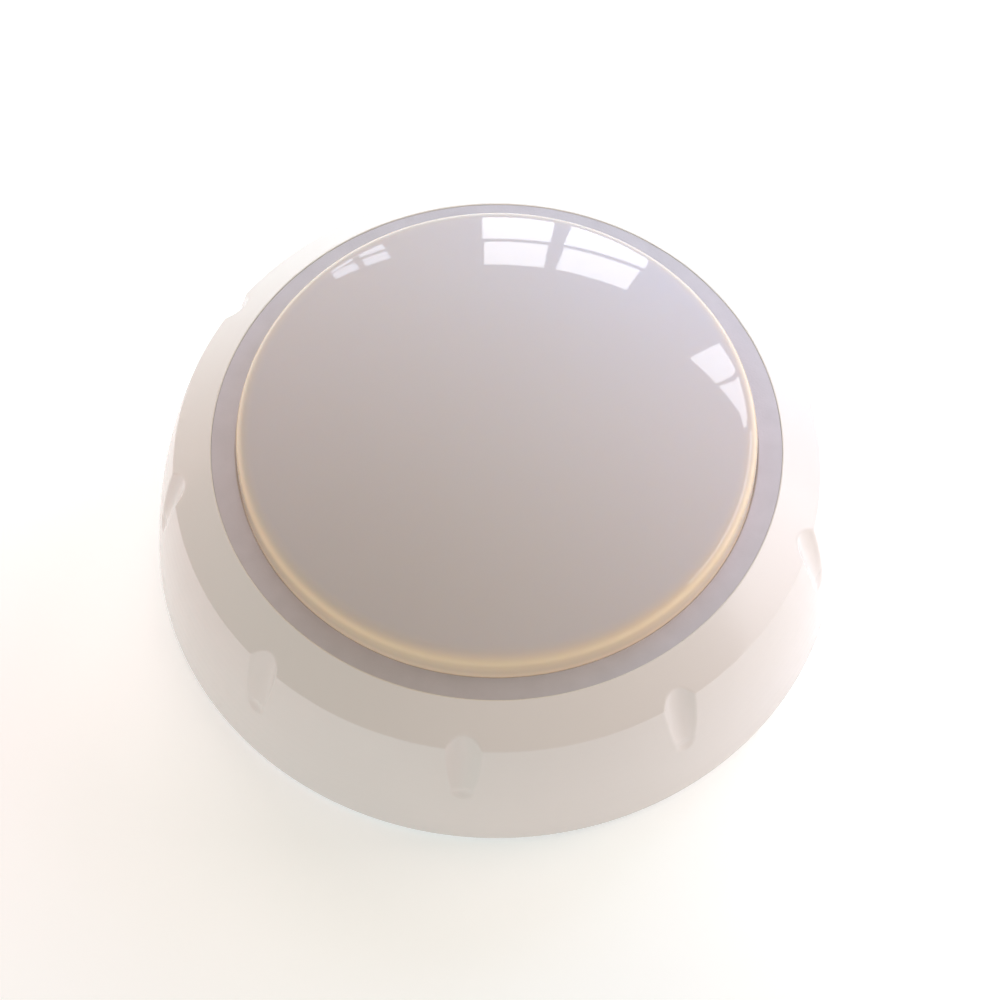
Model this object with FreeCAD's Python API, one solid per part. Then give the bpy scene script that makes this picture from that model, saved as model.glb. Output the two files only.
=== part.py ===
import FreeCAD, Part
import math
import os

# Quiz buzzer: a round palm-sized case with a large press dome on top.
# Millimetres, +Z up, origin on the table under the middle of the case, front towards -Y.

V = FreeCAD.Vector
UP = V(0, 0, 1)

# ---------------------------------------------------------------- driving dimensions
base_diameter = 90.0          # widest part of the case, near its foot
foot_standout = 0.8           # how far the rubber feet hold the case off the table
case_wall = 2.4               # thickness of the case's side wall
wall_curve_radius = 85.0      # the side wall bulges along one long arc
shoulder_height = 19.9        # the edge between side wall and sloping collar, above the case's foot
collar_top_height = 24.95     # top of the sloping collar, above the case's foot
collar_top_radius = 37.95
dome_radius = 34.45
dome_gap = 0.45               # between dome and trim ring
dome_crown_radius = 78.0
dome_crown_height = 37.2      # top of the dome, above the case's foot
dome_edge_radius = 2.6        # rounding between the dome's side and its crown
dome_wall = 1.8
dome_travel = 2.5
switch_travel = 0.25

scallop_count = 9
scallop_radius = 3.4          # radius of the round-nosed cutter that forms each finger scallop
scallop_tilt = 15.1           # degrees that the cutter leans inwards
scallop_reach_radius = 41.36  # where the deepest line of a scallop meets the collar
scallop_reach_height = 21.45
scallop_nose_height = 11.8    # centre of the cutter's round nose

cut_over = 1.0                # how far a cutter runs past the faces that it opens
root = 0.5                    # how far a boss reaches into the wall that it grows from
fit_gap = 0.2                 # clearance round pieces that slip past or into each other
lead_radius = 0.5

# ---------------------------------------------------------------- heights, from the table up
case_bottom = foot_standout
shoulder_z = case_bottom + shoulder_height
collar_top_z = case_bottom + collar_top_height
dome_top_z = case_bottom + dome_crown_height
plate_thickness = 2.0
plate_inset = 0.3             # how far the base plate sits above the case's foot
plate_bottom_z = case_bottom + plate_inset
plate_top_z = plate_bottom_z + plate_thickness
ring_height = 25.15
ring_thickness = 1.5
ring_top_z = case_bottom + ring_height
ring_bottom_z = ring_top_z - ring_thickness
flange_play = 0.1
flange_top_z = ring_bottom_z - flange_play
flange_thickness = 1.2
flange_bottom_z = flange_top_z - flange_thickness
deck_height = 18.3
deck_top_z = case_bottom + deck_height
deck_thickness = 1.5
deck_bottom_z = deck_top_z - deck_thickness
board_thickness = 1.2
board_height = 15.2
board_top_z = case_bottom + board_height
board_bottom_z = board_top_z - board_thickness

# ---------------------------------------------------------------- radii and places in plan
foot_radius = base_diameter / 2
wall_curve_x = foot_radius - wall_curve_radius
wall_widest_height = 1.0
wall_widest_z = case_bottom + wall_widest_height
inner_shoulder_drop = 0.8
shoulder_rounding = 0.45
foot_rounding = 0.5
well_radius = 36.6
well_wall = 1.4
recess_radius = 37.75
ring_outer_radius = 37.65
ring_inner_radius = dome_radius + dome_gap
flange_radius = 36.2
plate_radius = 42.4
board_radius = 24.0

case_screw_circle = 37.5
case_screw_angles = (-125.0, -55.0, 75.0, 105.0)
case_screw_shank = 1.3
case_screw_head = 2.8
case_screw_head_height = 1.9
case_screw_length = 9.0
case_screw_recess_depth = 3.5
case_screw_pad_height = 5.0
case_screw_pad_radius = 4.2
case_screw_boss_radius = 3.5
case_screw_recess_z = plate_bottom_z + case_screw_recess_depth
case_screw_pad_top_z = plate_bottom_z + case_screw_pad_height

rubber_foot_circle = 37.8
rubber_foot_angles = (-152.0, -28.0, 59.0, 121.0)
rubber_foot_radius = 3.8
rubber_foot_seat_depth = 0.8
rubber_foot_rounding = 0.4

spring_circle = 30.5
spring_angles = (90.0, 210.0, 330.0)
spring_coil_radius = 3.0
spring_wire_radius = 0.3
spring_turns = 5
spring_cup_radius = 4.0
spring_cup_wall = 1.0
spring_cup_floor_height = 15.0
spring_cup_floor_z = case_bottom + spring_cup_floor_height
spring_seat_radius = 2.2
spring_seat_height = 1.1

led_circle = 14.0
led_angles = (30.0, 150.0, 270.0)
led_radius = 2.5
led_height = 6.0
led_hole_gap = 0.7
dome_screw_circle = 27.0
dome_screw_angles = (30.0, 150.0, 270.0)
small_screw_shank = 1.0
small_screw_head = 2.1
small_screw_head_height = 1.3
board_screw_length = 3.8
dome_screw_length = 6.5
board_post_radius = 2.6
dome_post_radius = 2.7
dome_post_bore_depth = 6.0
board_screw_places = ((-20.5, -4.0), (20.5, -4.0), (0.0, -21.0))

speaker_y = -19.0
speaker_radius = 18.0
speaker_ledge_height = 1.2
gasket_thickness = 0.6
cone_edge_thickness = 0.3
speaker_depth = 3.8
speaker_sheet = 0.6
speaker_rim_thickness = 0.8
speaker_seat_z = plate_top_z + speaker_ledge_height
speaker_rim_z = speaker_seat_z + gasket_thickness + cone_edge_thickness
speaker_back_z = speaker_rim_z + speaker_depth
speaker_screw_circle = 20.6
speaker_screw_angles = (30.0, 150.0)
speaker_screw_length = 2.7

cell_radius = 5.25
cell_body_length = 43.6
cell_nub_length = 0.9
cell_pitch = 11.1
cell_front_y = 9.95
cell_y = (cell_front_y, cell_front_y + cell_pitch)
cell_axis_height = 5.15
cell_z = plate_top_z + cell_axis_height
cell_shift = 0.4              # how far each cell sits towards its spring's far end
contact_sheet = 0.4
bay_half_length = 25.5
bay_y = (4.3, 26.7)
bay_wall = 1.6
bay_depth = 10.6
bay_ceiling_z = plate_top_z + bay_depth
bay_ceiling_thickness = 0.9
bay_middle_y = (bay_y[0] + bay_y[1]) / 2

door_thickness = 1.8
door_lap = 1.0                # how far the door's opening is wider than the bay, on each side
door_gap = 0.2
door_hinge_x = -24.35
door_screw_x = 29.5
door_lug_radius = 3.8
door_screw_shank = 1.15
door_screw_hole = 1.65
door_screw_head = 2.3
door_screw_head_height = 0.8
door_screw_length = 5.5
door_screw_recess = 1.0
door_tongue_half_width = 3.0
door_tongue_length = 2.0
door_tongue_z = (plate_bottom_z + 0.6, plate_bottom_z + 1.2)
door_notch_half_width = 3.5
door_notch_height = 2.1

power_switch_x = -31.0
power_switch_y = -4.0
power_travel = 2.0
power_body_height = 4.0

switch_half_width = 3.0
switch_opening_half_width = 3.5
switch_body_height = 3.5
plunger_radius = 1.75
plunger_top_height = 4.3
plunger_sunk = 1.0


# ---------------------------------------------------------------- helpers
def ring_point(circle_radius, degrees, z=0.0):
    """A point on a circle around the case's axis."""
    turn = math.radians(degrees)
    return V(circle_radius * math.cos(turn), circle_radius * math.sin(turn), z)


def cylinder(x, y, bottom_z, top_z, radius):
    return Part.makeCylinder(radius, top_z - bottom_z, V(x, y, bottom_z), UP)


def block(x_range, y_range, z_range):
    return Part.makeBox(x_range[1] - x_range[0], y_range[1] - y_range[0], z_range[1] - z_range[0],
                        V(x_range[0], y_range[0], z_range[0]))


def line(start, end):
    return Part.LineSegment(start, end).toShape()


def outline(points):
    """Straight edges through (radius, height) points."""
    places = [V(r, 0, z) for r, z in points]
    return [line(a, b) for a, b in zip(places, places[1:])]


def turn(edges):
    """A solid of revolution about the Z axis from edges that close in the XZ plane."""
    face = Part.Face(Part.Wire(Part.sortEdges(edges)[0]))
    return face.revolve(V(0, 0, 0), UP, 360)


def turned_polygon(points):
    return turn(outline(list(points) + [points[0]]))


def arc(start, middle, end):
    return Part.Arc(V(start[0], 0, start[1]), V(middle[0], 0, middle[1]), V(end[0], 0, end[1])).toShape()


def round_edges(solid, radius, wanted):
    """Round those edges of the solid that wanted(edge) picks."""
    edges = [edge for edge in solid.Edges if wanted(edge)]
    return solid.makeFillet(radius, edges)


def circle_at(z, radius):
    """Picks full circles of one radius at one height."""
    near = 0.02

    def wanted(edge):
        is_circle = isinstance(edge.Curve, Part.Circle)
        return is_circle and abs(edge.Curve.Center.z - z) < near and abs(edge.Curve.Radius - radius) < near
    return wanted


def tube(points, bend_radius, radius):
    """A wire along straight runs joined by tangent arcs."""
    edges = []
    start = points[0]
    for before, corner, after in zip(points, points[1:], points[2:]):
        incoming = (corner - before).normalize()
        outgoing = (after - corner).normalize()
        half_turn = incoming.getAngle(outgoing) / 2
        setback = bend_radius * math.tan(half_turn)
        first = corner - incoming * setback
        last = corner + outgoing * setback
        inwards = (outgoing - incoming).normalize()
        centre = corner + inwards * (bend_radius / math.cos(half_turn))
        middle = centre - inwards * bend_radius
        edges.append(line(start, first))
        edges.append(Part.Arc(first, middle, last).toShape())
        start = last
    edges.append(line(start, points[-1]))
    section = Part.Wire(Part.makeCircle(radius, points[0], points[1] - points[0]))
    return Part.Wire(edges).makePipeShell([section], True, False)


def coil(x, y, bottom_z, top_z, coil_radius, wire_radius, turns):
    """An upright spring whose wire just reaches both heights."""
    height = top_z - bottom_z - 2 * wire_radius
    path = Part.makeHelix(height / turns, height, coil_radius)
    section = Part.Wire(Part.makeCircle(wire_radius, V(coil_radius, 0, 0), V(0, 1, 0)))
    spring = Part.Wire(path).makePipeShell([section], True, True)
    spring.translate(V(x, y, bottom_z + wire_radius))
    return spring


def screw(x, y, head_z, head_radius, head_height, shank_radius, shank_length):
    """A cross-recess screw driven upwards: its head hangs below head_z."""
    rounding_share = 0.45
    slot_long_share = 0.62
    slot_thin_share = 0.16
    slot_depth_share = 0.5
    face_z = head_z - head_height
    head = cylinder(x, y, face_z, head_z, head_radius)
    head = round_edges(head, head_height * rounding_share, circle_at(face_z, head_radius))
    shank = cylinder(x, y, head_z, head_z + shank_length, shank_radius)
    slot_long = head_radius * slot_long_share
    slot_thin = head_radius * slot_thin_share
    slot_z = (face_z, face_z + head_height * slot_depth_share)
    cross_x = block((x - slot_long, x + slot_long), (y - slot_thin, y + slot_thin), slot_z)
    cross_y = block((x - slot_thin, x + slot_thin), (y - slot_long, y + slot_long), slot_z)
    return head.fuse(shank).cut(cross_x.fuse(cross_y)).removeSplitter()


def group(solids):
    return Part.makeCompound(solids)


def wall_radius(z, inset=0.0):
    """Outside radius of the case's side wall at a height, or of a surface inset from it."""
    curve = wall_curve_radius - inset
    return wall_curve_x + math.sqrt(curve ** 2 - (z - wall_widest_z) ** 2)


# ---------------------------------------------------------------- case
def make_housing():
    """Side wall, sloping collar, dome well and deck, moulded as one piece."""
    half_z = case_bottom + shoulder_height / 2
    shoulder = (wall_radius(shoulder_z), shoulder_z)
    foot = (wall_radius(case_bottom), case_bottom)
    inner_shoulder_z = shoulder_z - inner_shoulder_drop
    inner_shoulder = (wall_radius(inner_shoulder_z, case_wall), inner_shoulder_z)
    inner_foot = (wall_radius(case_bottom, case_wall), case_bottom)
    well_outside = well_radius + well_wall
    inner_collar_z = inner_shoulder_z + inner_shoulder[0] - well_outside
    edges = [arc(foot, (wall_radius(half_z), half_z), shoulder)]
    edges += outline([
        shoulder,
        (collar_top_radius, collar_top_z),
        (recess_radius, collar_top_z),
        (recess_radius, ring_bottom_z),
        (well_radius, ring_bottom_z),
        (well_radius, deck_top_z),
        (0, deck_top_z),
        (0, deck_bottom_z),
        (well_outside, deck_bottom_z),
        (well_outside, inner_collar_z),
        inner_shoulder,
    ])
    edges.append(arc(inner_shoulder, (wall_radius(half_z, case_wall), half_z), inner_foot))
    edges += outline([inner_foot, foot])
    housing = turn(edges)
    housing = round_edges(housing, shoulder_rounding, circle_at(shoulder_z, shoulder[0]))
    housing = round_edges(housing, foot_rounding, circle_at(case_bottom, foot[0]))

    for degrees in case_screw_angles:
        place = ring_point(case_screw_circle, degrees)
        housing = housing.fuse(cylinder(place.x, place.y, case_screw_pad_top_z, deck_bottom_z + root,
                                        case_screw_boss_radius))
    for x, y in board_screw_places:
        housing = housing.fuse(cylinder(x, y, board_top_z, deck_bottom_z + root, board_post_radius))
    cup_outside = spring_cup_radius + spring_cup_wall
    for degrees in spring_angles:
        place = ring_point(spring_circle, degrees)
        housing = housing.fuse(cylinder(place.x, place.y, spring_cup_floor_z - spring_cup_wall,
                                        deck_bottom_z + root, cup_outside))

    cuts = [scallop_cutter(number) for number in range(scallop_count)]
    switch_opening = (-switch_opening_half_width, switch_opening_half_width)
    cuts.append(block(switch_opening, switch_opening, (deck_bottom_z - cut_over, deck_top_z + cut_over)))
    for degrees in case_screw_angles:
        place = ring_point(case_screw_circle, degrees)
        hole_top = case_screw_pad_top_z + case_screw_length
        cuts.append(cylinder(place.x, place.y, case_screw_pad_top_z - cut_over, hole_top, case_screw_shank))
    for x, y in board_screw_places:
        cuts.append(cylinder(x, y, board_top_z - cut_over, deck_top_z + cut_over, small_screw_shank))
    for degrees in spring_angles:
        place = ring_point(spring_circle, degrees)
        cuts.append(cylinder(place.x, place.y, spring_cup_floor_z, deck_top_z + cut_over, spring_cup_radius))
    for degrees in led_angles:
        place = ring_point(led_circle, degrees)
        cuts.append(cylinder(place.x, place.y, deck_bottom_z - cut_over, deck_top_z + cut_over,
                             led_radius + led_hole_gap))
    return housing.cut(cuts).removeSplitter()


def scallop_cutter(number):
    """A leaning round-nosed cutter; its innermost line runs down the middle of one scallop."""
    lean = math.radians(scallop_tilt)
    reach = scallop_reach_radius + scallop_radius / math.cos(lean)
    direction = V(-math.sin(lean), 0, math.cos(lean))
    nose_drop = scallop_reach_height - scallop_nose_height
    nose = V(reach + nose_drop * math.tan(lean), 0, case_bottom + scallop_nose_height)
    cutter_length = 25.0
    cutter = Part.makeCylinder(scallop_radius, cutter_length, nose, direction)
    cutter = cutter.fuse(Part.makeSphere(scallop_radius, nose))
    cutter.rotate(V(0, 0, 0), UP, -90 + number * 360 / scallop_count)
    return cutter


def make_trim_ring():
    """Flat ring set into the top of the case; it holds the dome's flange down."""
    outer_break = 0.2
    inner_break = 0.4
    return turned_polygon([
        (ring_inner_radius, ring_bottom_z),
        (ring_outer_radius, ring_bottom_z),
        (ring_outer_radius, ring_top_z - outer_break),
        (ring_outer_radius - outer_break, ring_top_z),
        (ring_inner_radius + inner_break, ring_top_z),
        (ring_inner_radius, ring_top_z - inner_break),
    ])


def make_base_plate():
    """Bottom cover with the speaker seat and grille, the battery bay and the screw pads."""
    plate = cylinder(0, 0, plate_bottom_z, plate_top_z, plate_radius)
    plate_rounding = 0.3
    head_gap = 0.3
    plate = round_edges(plate, plate_rounding, circle_at(plate_bottom_z, plate_radius))
    pads = [speaker_seat(), battery_bay()]
    for degrees in case_screw_angles:
        place = ring_point(case_screw_circle, degrees)
        pads.append(cylinder(place.x, place.y, plate_top_z, case_screw_pad_top_z, case_screw_pad_radius))
    plate = plate.fuse(pads)

    cuts = [door_opening(), power_switch_slot()]
    cuts += grille_holes()
    for degrees in case_screw_angles:
        place = ring_point(case_screw_circle, degrees)
        cuts.append(cylinder(place.x, place.y, plate_bottom_z - cut_over, case_screw_recess_z,
                             case_screw_head + head_gap))
        cuts.append(cylinder(place.x, place.y, plate_bottom_z, case_screw_pad_top_z + cut_over,
                             case_screw_shank))
    for degrees in rubber_foot_angles:
        place = ring_point(rubber_foot_circle, degrees)
        cuts.append(cylinder(place.x, place.y, plate_bottom_z - cut_over,
                             plate_bottom_z + rubber_foot_seat_depth, rubber_foot_radius))
    return plate.cut(cuts).removeSplitter()


def speaker_seat():
    """Ledge and low wall for the loudspeaker, two screw posts and a fixed hook."""
    seat_wall = 1.2
    rib_height = 1.4
    ledge_width = 2.5
    post_radius = 2.2
    seat_radius = speaker_radius + fit_gap
    rib_top_z = speaker_seat_z + rib_height
    rib = cylinder(0, speaker_y, plate_top_z, rib_top_z, seat_radius + seat_wall)
    rib = rib.cut(cylinder(0, speaker_y, plate_top_z, rib_top_z + cut_over, seat_radius))
    ledge = cylinder(0, speaker_y, plate_top_z, speaker_seat_z, seat_radius)
    ledge = ledge.cut(cylinder(0, speaker_y, plate_top_z, speaker_seat_z, speaker_radius - ledge_width))
    seat = rib.fuse(ledge)
    rim_top_z = speaker_rim_z + speaker_rim_thickness
    for degrees in speaker_screw_angles:
        place = ring_point(speaker_screw_circle, degrees)
        post = cylinder(place.x, place.y + speaker_y, plate_top_z, rim_top_z, post_radius)
        hole = cylinder(place.x, place.y + speaker_y, plate_top_z, rim_top_z, small_screw_shank)
        seat = seat.fuse(post).cut(hole)
    hook_y = speaker_y - speaker_radius
    hook_half_width = 2.5
    hook_thickness = 1.4
    hook_reach = 0.7
    hook_play = 0.1
    hook_x = (-hook_half_width, hook_half_width)
    hook_top_z = rim_top_z + 1.0
    hook_front_y = hook_y - fit_gap
    hook_post = block(hook_x, (hook_front_y - hook_thickness, hook_front_y), (plate_top_z, hook_top_z))
    hook_lip = block(hook_x, (hook_front_y, hook_y + hook_reach), (rim_top_z + hook_play, hook_top_z))
    return seat.fuse(hook_post).fuse(hook_lip)


def grille_holes():
    """Rings of round sound holes under the loudspeaker."""
    hole_radius = 1.2
    ring_pitch = 5.5
    holes_per_ring = 6
    bottom_z = plate_bottom_z - cut_over
    top_z = plate_top_z + cut_over
    holes = [cylinder(0, speaker_y, bottom_z, top_z, hole_radius)]
    for ring_number in (1, 2):
        count = holes_per_ring * ring_number
        for number in range(count):
            place = ring_point(ring_pitch * ring_number, number * 360 / count)
            holes.append(cylinder(place.x, place.y + speaker_y, bottom_z, top_z, hole_radius))
    return holes


def battery_bay():
    """Box around the cells, open at the bottom, with a post for the door's screw."""
    roof_z = bay_ceiling_z + bay_ceiling_thickness
    outside = block((-bay_half_length - bay_wall, bay_half_length + bay_wall),
                    (bay_y[0] - bay_wall, bay_y[1] + bay_wall), (plate_top_z, roof_z))
    inside = block((-bay_half_length, bay_half_length), bay_y, (plate_top_z, bay_ceiling_z))
    notch_y = (bay_middle_y - door_notch_half_width, bay_middle_y + door_notch_half_width)
    notch = block((-bay_half_length - bay_wall, -bay_half_length), notch_y,
                  (plate_top_z, plate_top_z + door_notch_height))
    post_height = 7.0
    post_radius = 3.4
    post_roof = 1.0
    post_top_z = plate_top_z + post_height
    post = cylinder(door_screw_x, bay_middle_y, plate_top_z, post_top_z, post_radius)
    bore = cylinder(door_screw_x, bay_middle_y, plate_top_z, post_top_z - post_roof, door_screw_hole)
    slots = [contact_slot(y) for y in cell_y]
    return outside.cut(inside).cut(notch).fuse(post).cut(bore).cut(slots)


def contact_slot(y):
    """Slot in the bay's roof that a contact's solder tab stands up through."""
    slot_width = 0.5
    half_length = 1.1
    return block((bay_half_length - slot_width, bay_half_length), (y - half_length, y + half_length),
                 (bay_ceiling_z, bay_ceiling_z + bay_ceiling_thickness))


def door_opening():
    """Opening in the plate for the battery door, its lug and its hinge tongue."""
    pocket_floor = 0.45
    pocket_length = 2.4
    z_range = (plate_bottom_z - cut_over, plate_top_z)
    hole = block((-bay_half_length, bay_half_length), (bay_y[0] - door_lap, bay_y[1] + door_lap), z_range)
    lug = cylinder(door_screw_x, bay_middle_y, z_range[0], z_range[1], door_lug_radius + door_gap)
    neck = block((bay_half_length, door_screw_x),
                 (bay_middle_y - door_lug_radius - door_gap, bay_middle_y + door_lug_radius + door_gap),
                 z_range)
    pocket = block((-bay_half_length - pocket_length, -bay_half_length),
                   (bay_middle_y - door_notch_half_width, bay_middle_y + door_notch_half_width),
                   (plate_bottom_z + pocket_floor, plate_top_z + door_notch_height))
    return hole.fuse(lug).fuse(neck).fuse(pocket)


def power_switch_slot():
    half_width = 1.4
    half_length = 2.7
    return block((power_switch_x - half_width, power_switch_x + half_width),
                 (power_switch_y - half_length, power_switch_y + half_length),
                 (plate_bottom_z - cut_over, plate_top_z + cut_over))


def make_rubber_feet():
    feet = []
    for degrees in rubber_foot_angles:
        place = ring_point(rubber_foot_circle, degrees)
        foot = cylinder(place.x, place.y, 0, plate_bottom_z + rubber_foot_seat_depth, rubber_foot_radius)
        feet.append(round_edges(foot, rubber_foot_rounding, circle_at(0, rubber_foot_radius)))
    return group(feet)


def make_case_screws():
    screws = []
    for degrees in case_screw_angles:
        place = ring_point(case_screw_circle, degrees)
        screws.append(screw(place.x, place.y, case_screw_recess_z, case_screw_head, case_screw_head_height,
                            case_screw_shank, case_screw_length))
    return group(screws)


# ---------------------------------------------------------------- battery door and cells
def make_battery_door():
    """Flat door with a rounded hinge edge, a hinge tongue, a screw lug and two ribs that hold the cells."""
    top_z = plate_bottom_z + door_thickness
    nose_radius = door_thickness / 2
    half_width = (bay_y[1] - bay_y[0]) / 2 + door_lap - door_gap
    y_range = (bay_middle_y - half_width, bay_middle_y + half_width)
    panel = block((door_hinge_x, bay_half_length - door_gap), y_range, (plate_bottom_z, top_z))
    nose = Part.makeCylinder(nose_radius, 2 * half_width,
                             V(door_hinge_x, y_range[0], plate_bottom_z + nose_radius), V(0, 1, 0))
    tongue = block((-bay_half_length - door_tongue_length + fit_gap, door_hinge_x),
                   (bay_middle_y - door_tongue_half_width, bay_middle_y + door_tongue_half_width),
                   door_tongue_z)
    lug = cylinder(door_screw_x, bay_middle_y, plate_bottom_z, top_z, door_lug_radius)
    neck = block((bay_half_length - root - door_gap, door_screw_x),
                 (bay_middle_y - door_lug_radius, bay_middle_y + door_lug_radius), (plate_bottom_z, top_z))
    door = panel.fuse([nose, tongue, lug, neck])
    door = door.cut(cylinder(door_screw_x, bay_middle_y, plate_bottom_z - cut_over,
                             plate_bottom_z + door_screw_recess, door_screw_head + fit_gap))
    door = door.cut(cylinder(door_screw_x, bay_middle_y, plate_bottom_z, top_z + cut_over, door_screw_shank))
    groove_count = 3
    groove_pitch = 1.6
    groove_width = 0.8
    groove_depth = 0.4
    groove_half_length = 5.0
    first_groove_x = bay_half_length - 5.0
    for number in range(groove_count):
        groove_x = first_groove_x - groove_pitch * number
        door = door.cut(block((groove_x, groove_x + groove_width),
                              (bay_middle_y - groove_half_length, bay_middle_y + groove_half_length),
                              (plate_bottom_z - cut_over, plate_bottom_z + groove_depth)))
    return door.removeSplitter()


def make_door_screw():
    return screw(door_screw_x, bay_middle_y, plate_bottom_z + door_screw_recess, door_screw_head,
                 door_screw_head_height, door_screw_shank, door_screw_length)


def make_cell(y, points_right):
    """One small cylindrical cell; its nub points right or left."""
    side = 1 if points_right else -1
    rim_rounding = 0.5
    nub_radius = 1.9
    start = V(-side * (cell_body_length / 2 + cell_shift), y, cell_z)
    body = Part.makeCylinder(cell_radius, cell_body_length, start, V(side, 0, 0))
    body = body.makeFillet(rim_rounding, [edge for edge in body.Edges if isinstance(edge.Curve, Part.Circle)])
    nub = Part.makeCylinder(nub_radius, cell_body_length + cell_nub_length, start, V(side, 0, 0))
    return body.fuse(nub).removeSplitter()


def make_battery_contacts():
    """One bridge plate at the left and two tabbed plates at the right."""
    left_x = -bay_half_length
    right_x = bay_half_length
    half_width = 3.5
    tab_half_width = 1.0
    tab_standout = 1.1
    plate_z = (cell_z - 2.4, cell_z + 3.4)
    tab_z = (plate_z[1], board_top_z + tab_standout)
    sheet_x = (right_x - contact_sheet, right_x)
    bridge = block((left_x, left_x + contact_sheet), (cell_y[0] - half_width, cell_y[1] + half_width),
                   plate_z)
    plates = [bridge]
    for y in cell_y:
        plate = block(sheet_x, (y - half_width, y + half_width), plate_z)
        tab = block(sheet_x, (y - tab_half_width, y + tab_half_width), tab_z)
        plates.append(plate.fuse(tab).removeSplitter())
    return group(plates)


def make_battery_springs():
    """Coil springs that press on the flat end of each cell, one at each end of the bay."""
    coil_radius = 2.6
    wire_radius = 0.25
    turns = 3
    length = bay_half_length - contact_sheet - (cell_body_length / 2 + cell_shift)
    left = coil(0, 0, 0, length, coil_radius, wire_radius, turns)
    left.rotate(V(0, 0, 0), V(0, 1, 0), 90)
    left.translate(V(-bay_half_length + contact_sheet, cell_y[0], cell_z))
    right = left.copy()
    right.rotate(V(0, bay_middle_y, 0), UP, 180)
    return group([left, right])


def make_battery_leads():
    """Insulated leads from the solder tabs, lying on the board's pads."""
    pads_x = (19.5, 9.5)
    leads = []
    for y, pad_x in zip(cell_y, pads_x):
        leads.append(Part.makeCylinder(lead_radius, bay_half_length - contact_sheet - pad_x,
                                       V(pad_x, y, board_top_z + lead_radius), V(1, 0, 0)))
    return group(leads)


# ---------------------------------------------------------------- electronics
def make_circuit_board():
    board = cylinder(0, 0, board_bottom_z, board_top_z, board_radius)
    for x, y in board_screw_places:
        board = board.cut(cylinder(x, y, board_bottom_z, board_top_z, small_screw_shank))
    return board


def make_board_screws():
    return group([screw(x, y, board_bottom_z, small_screw_head, small_screw_head_height, small_screw_shank,
                        board_screw_length) for x, y in board_screw_places])


def make_sound_chip():
    """Eight-lead sound chip under the board."""
    top_z = board_bottom_z
    body_thickness = 1.4
    standoff = 0.1
    leads_per_side = 4
    first_lead_x = 4.6
    lead_pitch = 1.27
    lead_half_width = 0.2
    lead_y = (-13.0, -7.0)
    lead_z = (top_z - 0.3, top_z)
    body = block((4.0, 9.0), (-12.0, -8.0), (top_z - standoff - body_thickness, top_z - standoff))
    leads = []
    for number in range(leads_per_side):
        x = first_lead_x + lead_pitch * number
        leads.append(block((x - lead_half_width, x + lead_half_width), lead_y, lead_z))
    return body.fuse(leads).removeSplitter()


def make_capacitor():
    can_radius = 2.5
    can_height = 5.4
    can_rounding = 0.4
    can_x, can_y = -18.0, -12.0
    can_bottom_z = board_bottom_z - can_height
    can = cylinder(can_x, can_y, can_bottom_z, board_bottom_z, can_radius)
    return round_edges(can, can_rounding, circle_at(can_bottom_z, can_radius))


def make_resistors():
    body_length = 2.0
    body_height = 0.5
    y_range = (-6.6, -5.4)
    starts_x = (-9.0, -5.5, 5.0)
    return group([block((x, x + body_length), y_range, (board_bottom_z - body_height, board_bottom_z))
                  for x in starts_x])


def make_leds():
    flange_height = 1.0
    flange_width = 0.4
    tip_z = board_top_z + led_height
    lamps = []
    for degrees in led_angles:
        place = ring_point(led_circle, degrees)
        flange = cylinder(place.x, place.y, board_top_z, board_top_z + flange_height,
                          led_radius + flange_width)
        body = cylinder(place.x, place.y, board_top_z, tip_z, led_radius)
        tip = Part.makeSphere(led_radius, V(place.x, place.y, tip_z))
        lamps.append(flange.fuse([body, tip]).removeSplitter())
    return group(lamps)


def make_switch_body():
    """Push switch under the middle of the dome."""
    side = (-switch_half_width, switch_half_width)
    plunger_gap = 0.09
    travel_room = 0.3
    top_z = board_top_z + switch_body_height
    body = block(side, side, (board_top_z, top_z))
    return body.cut(cylinder(0, 0, top_z - plunger_sunk - travel_room, top_z, plunger_radius + plunger_gap))


def make_switch_plunger():
    plunger_rounding = 0.2
    bottom_z = board_top_z + switch_body_height - plunger_sunk
    top_z = board_top_z + plunger_top_height
    plunger = cylinder(0, 0, bottom_z, top_z, plunger_radius)
    return round_edges(plunger, plunger_rounding, circle_at(top_z, plunger_radius))


def make_power_switch_body():
    half_width, half_length = 2.5, 5.0
    cavity_half_width, cavity_half_length = 1.7, 3.6
    cavity_height = 1.8
    body = block((power_switch_x - half_width, power_switch_x + half_width),
                 (power_switch_y - half_length, power_switch_y + half_length),
                 (plate_top_z, plate_top_z + power_body_height))
    cavity = block((power_switch_x - cavity_half_width, power_switch_x + cavity_half_width),
                   (power_switch_y - cavity_half_length, power_switch_y + cavity_half_length),
                   (plate_top_z, plate_top_z + cavity_height))
    return body.cut(cavity)


def make_power_switch_knob():
    """Stored in its off place, at the front end of its slot."""
    middle_y = power_switch_y - power_travel / 2
    slider_half_width, slider_half_length = 1.5, 2.4
    knob_half_width, knob_half_length = 1.2, 1.4
    slider_bottom_z = plate_top_z + 0.1
    slider_top_z = plate_top_z + 1.5
    knob_bottom_z = plate_bottom_z + 0.3
    groove_top_z = plate_bottom_z + 0.6
    groove_pitch = 0.7
    groove_half_width = 0.15
    slider = block((power_switch_x - slider_half_width, power_switch_x + slider_half_width),
                   (middle_y - slider_half_length, middle_y + slider_half_length),
                   (slider_bottom_z, slider_top_z))
    knob_x = (power_switch_x - knob_half_width, power_switch_x + knob_half_width)
    knob = block(knob_x, (middle_y - knob_half_length, middle_y + knob_half_length),
                 (knob_bottom_z, slider_bottom_z))
    for number in (-1, 0, 1):
        groove_y = middle_y + groove_pitch * number
        knob = knob.cut(block(knob_x, (groove_y - groove_half_width, groove_y + groove_half_width),
                              (knob_bottom_z, groove_top_z)))
    return slider.fuse(knob).removeSplitter()


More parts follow.
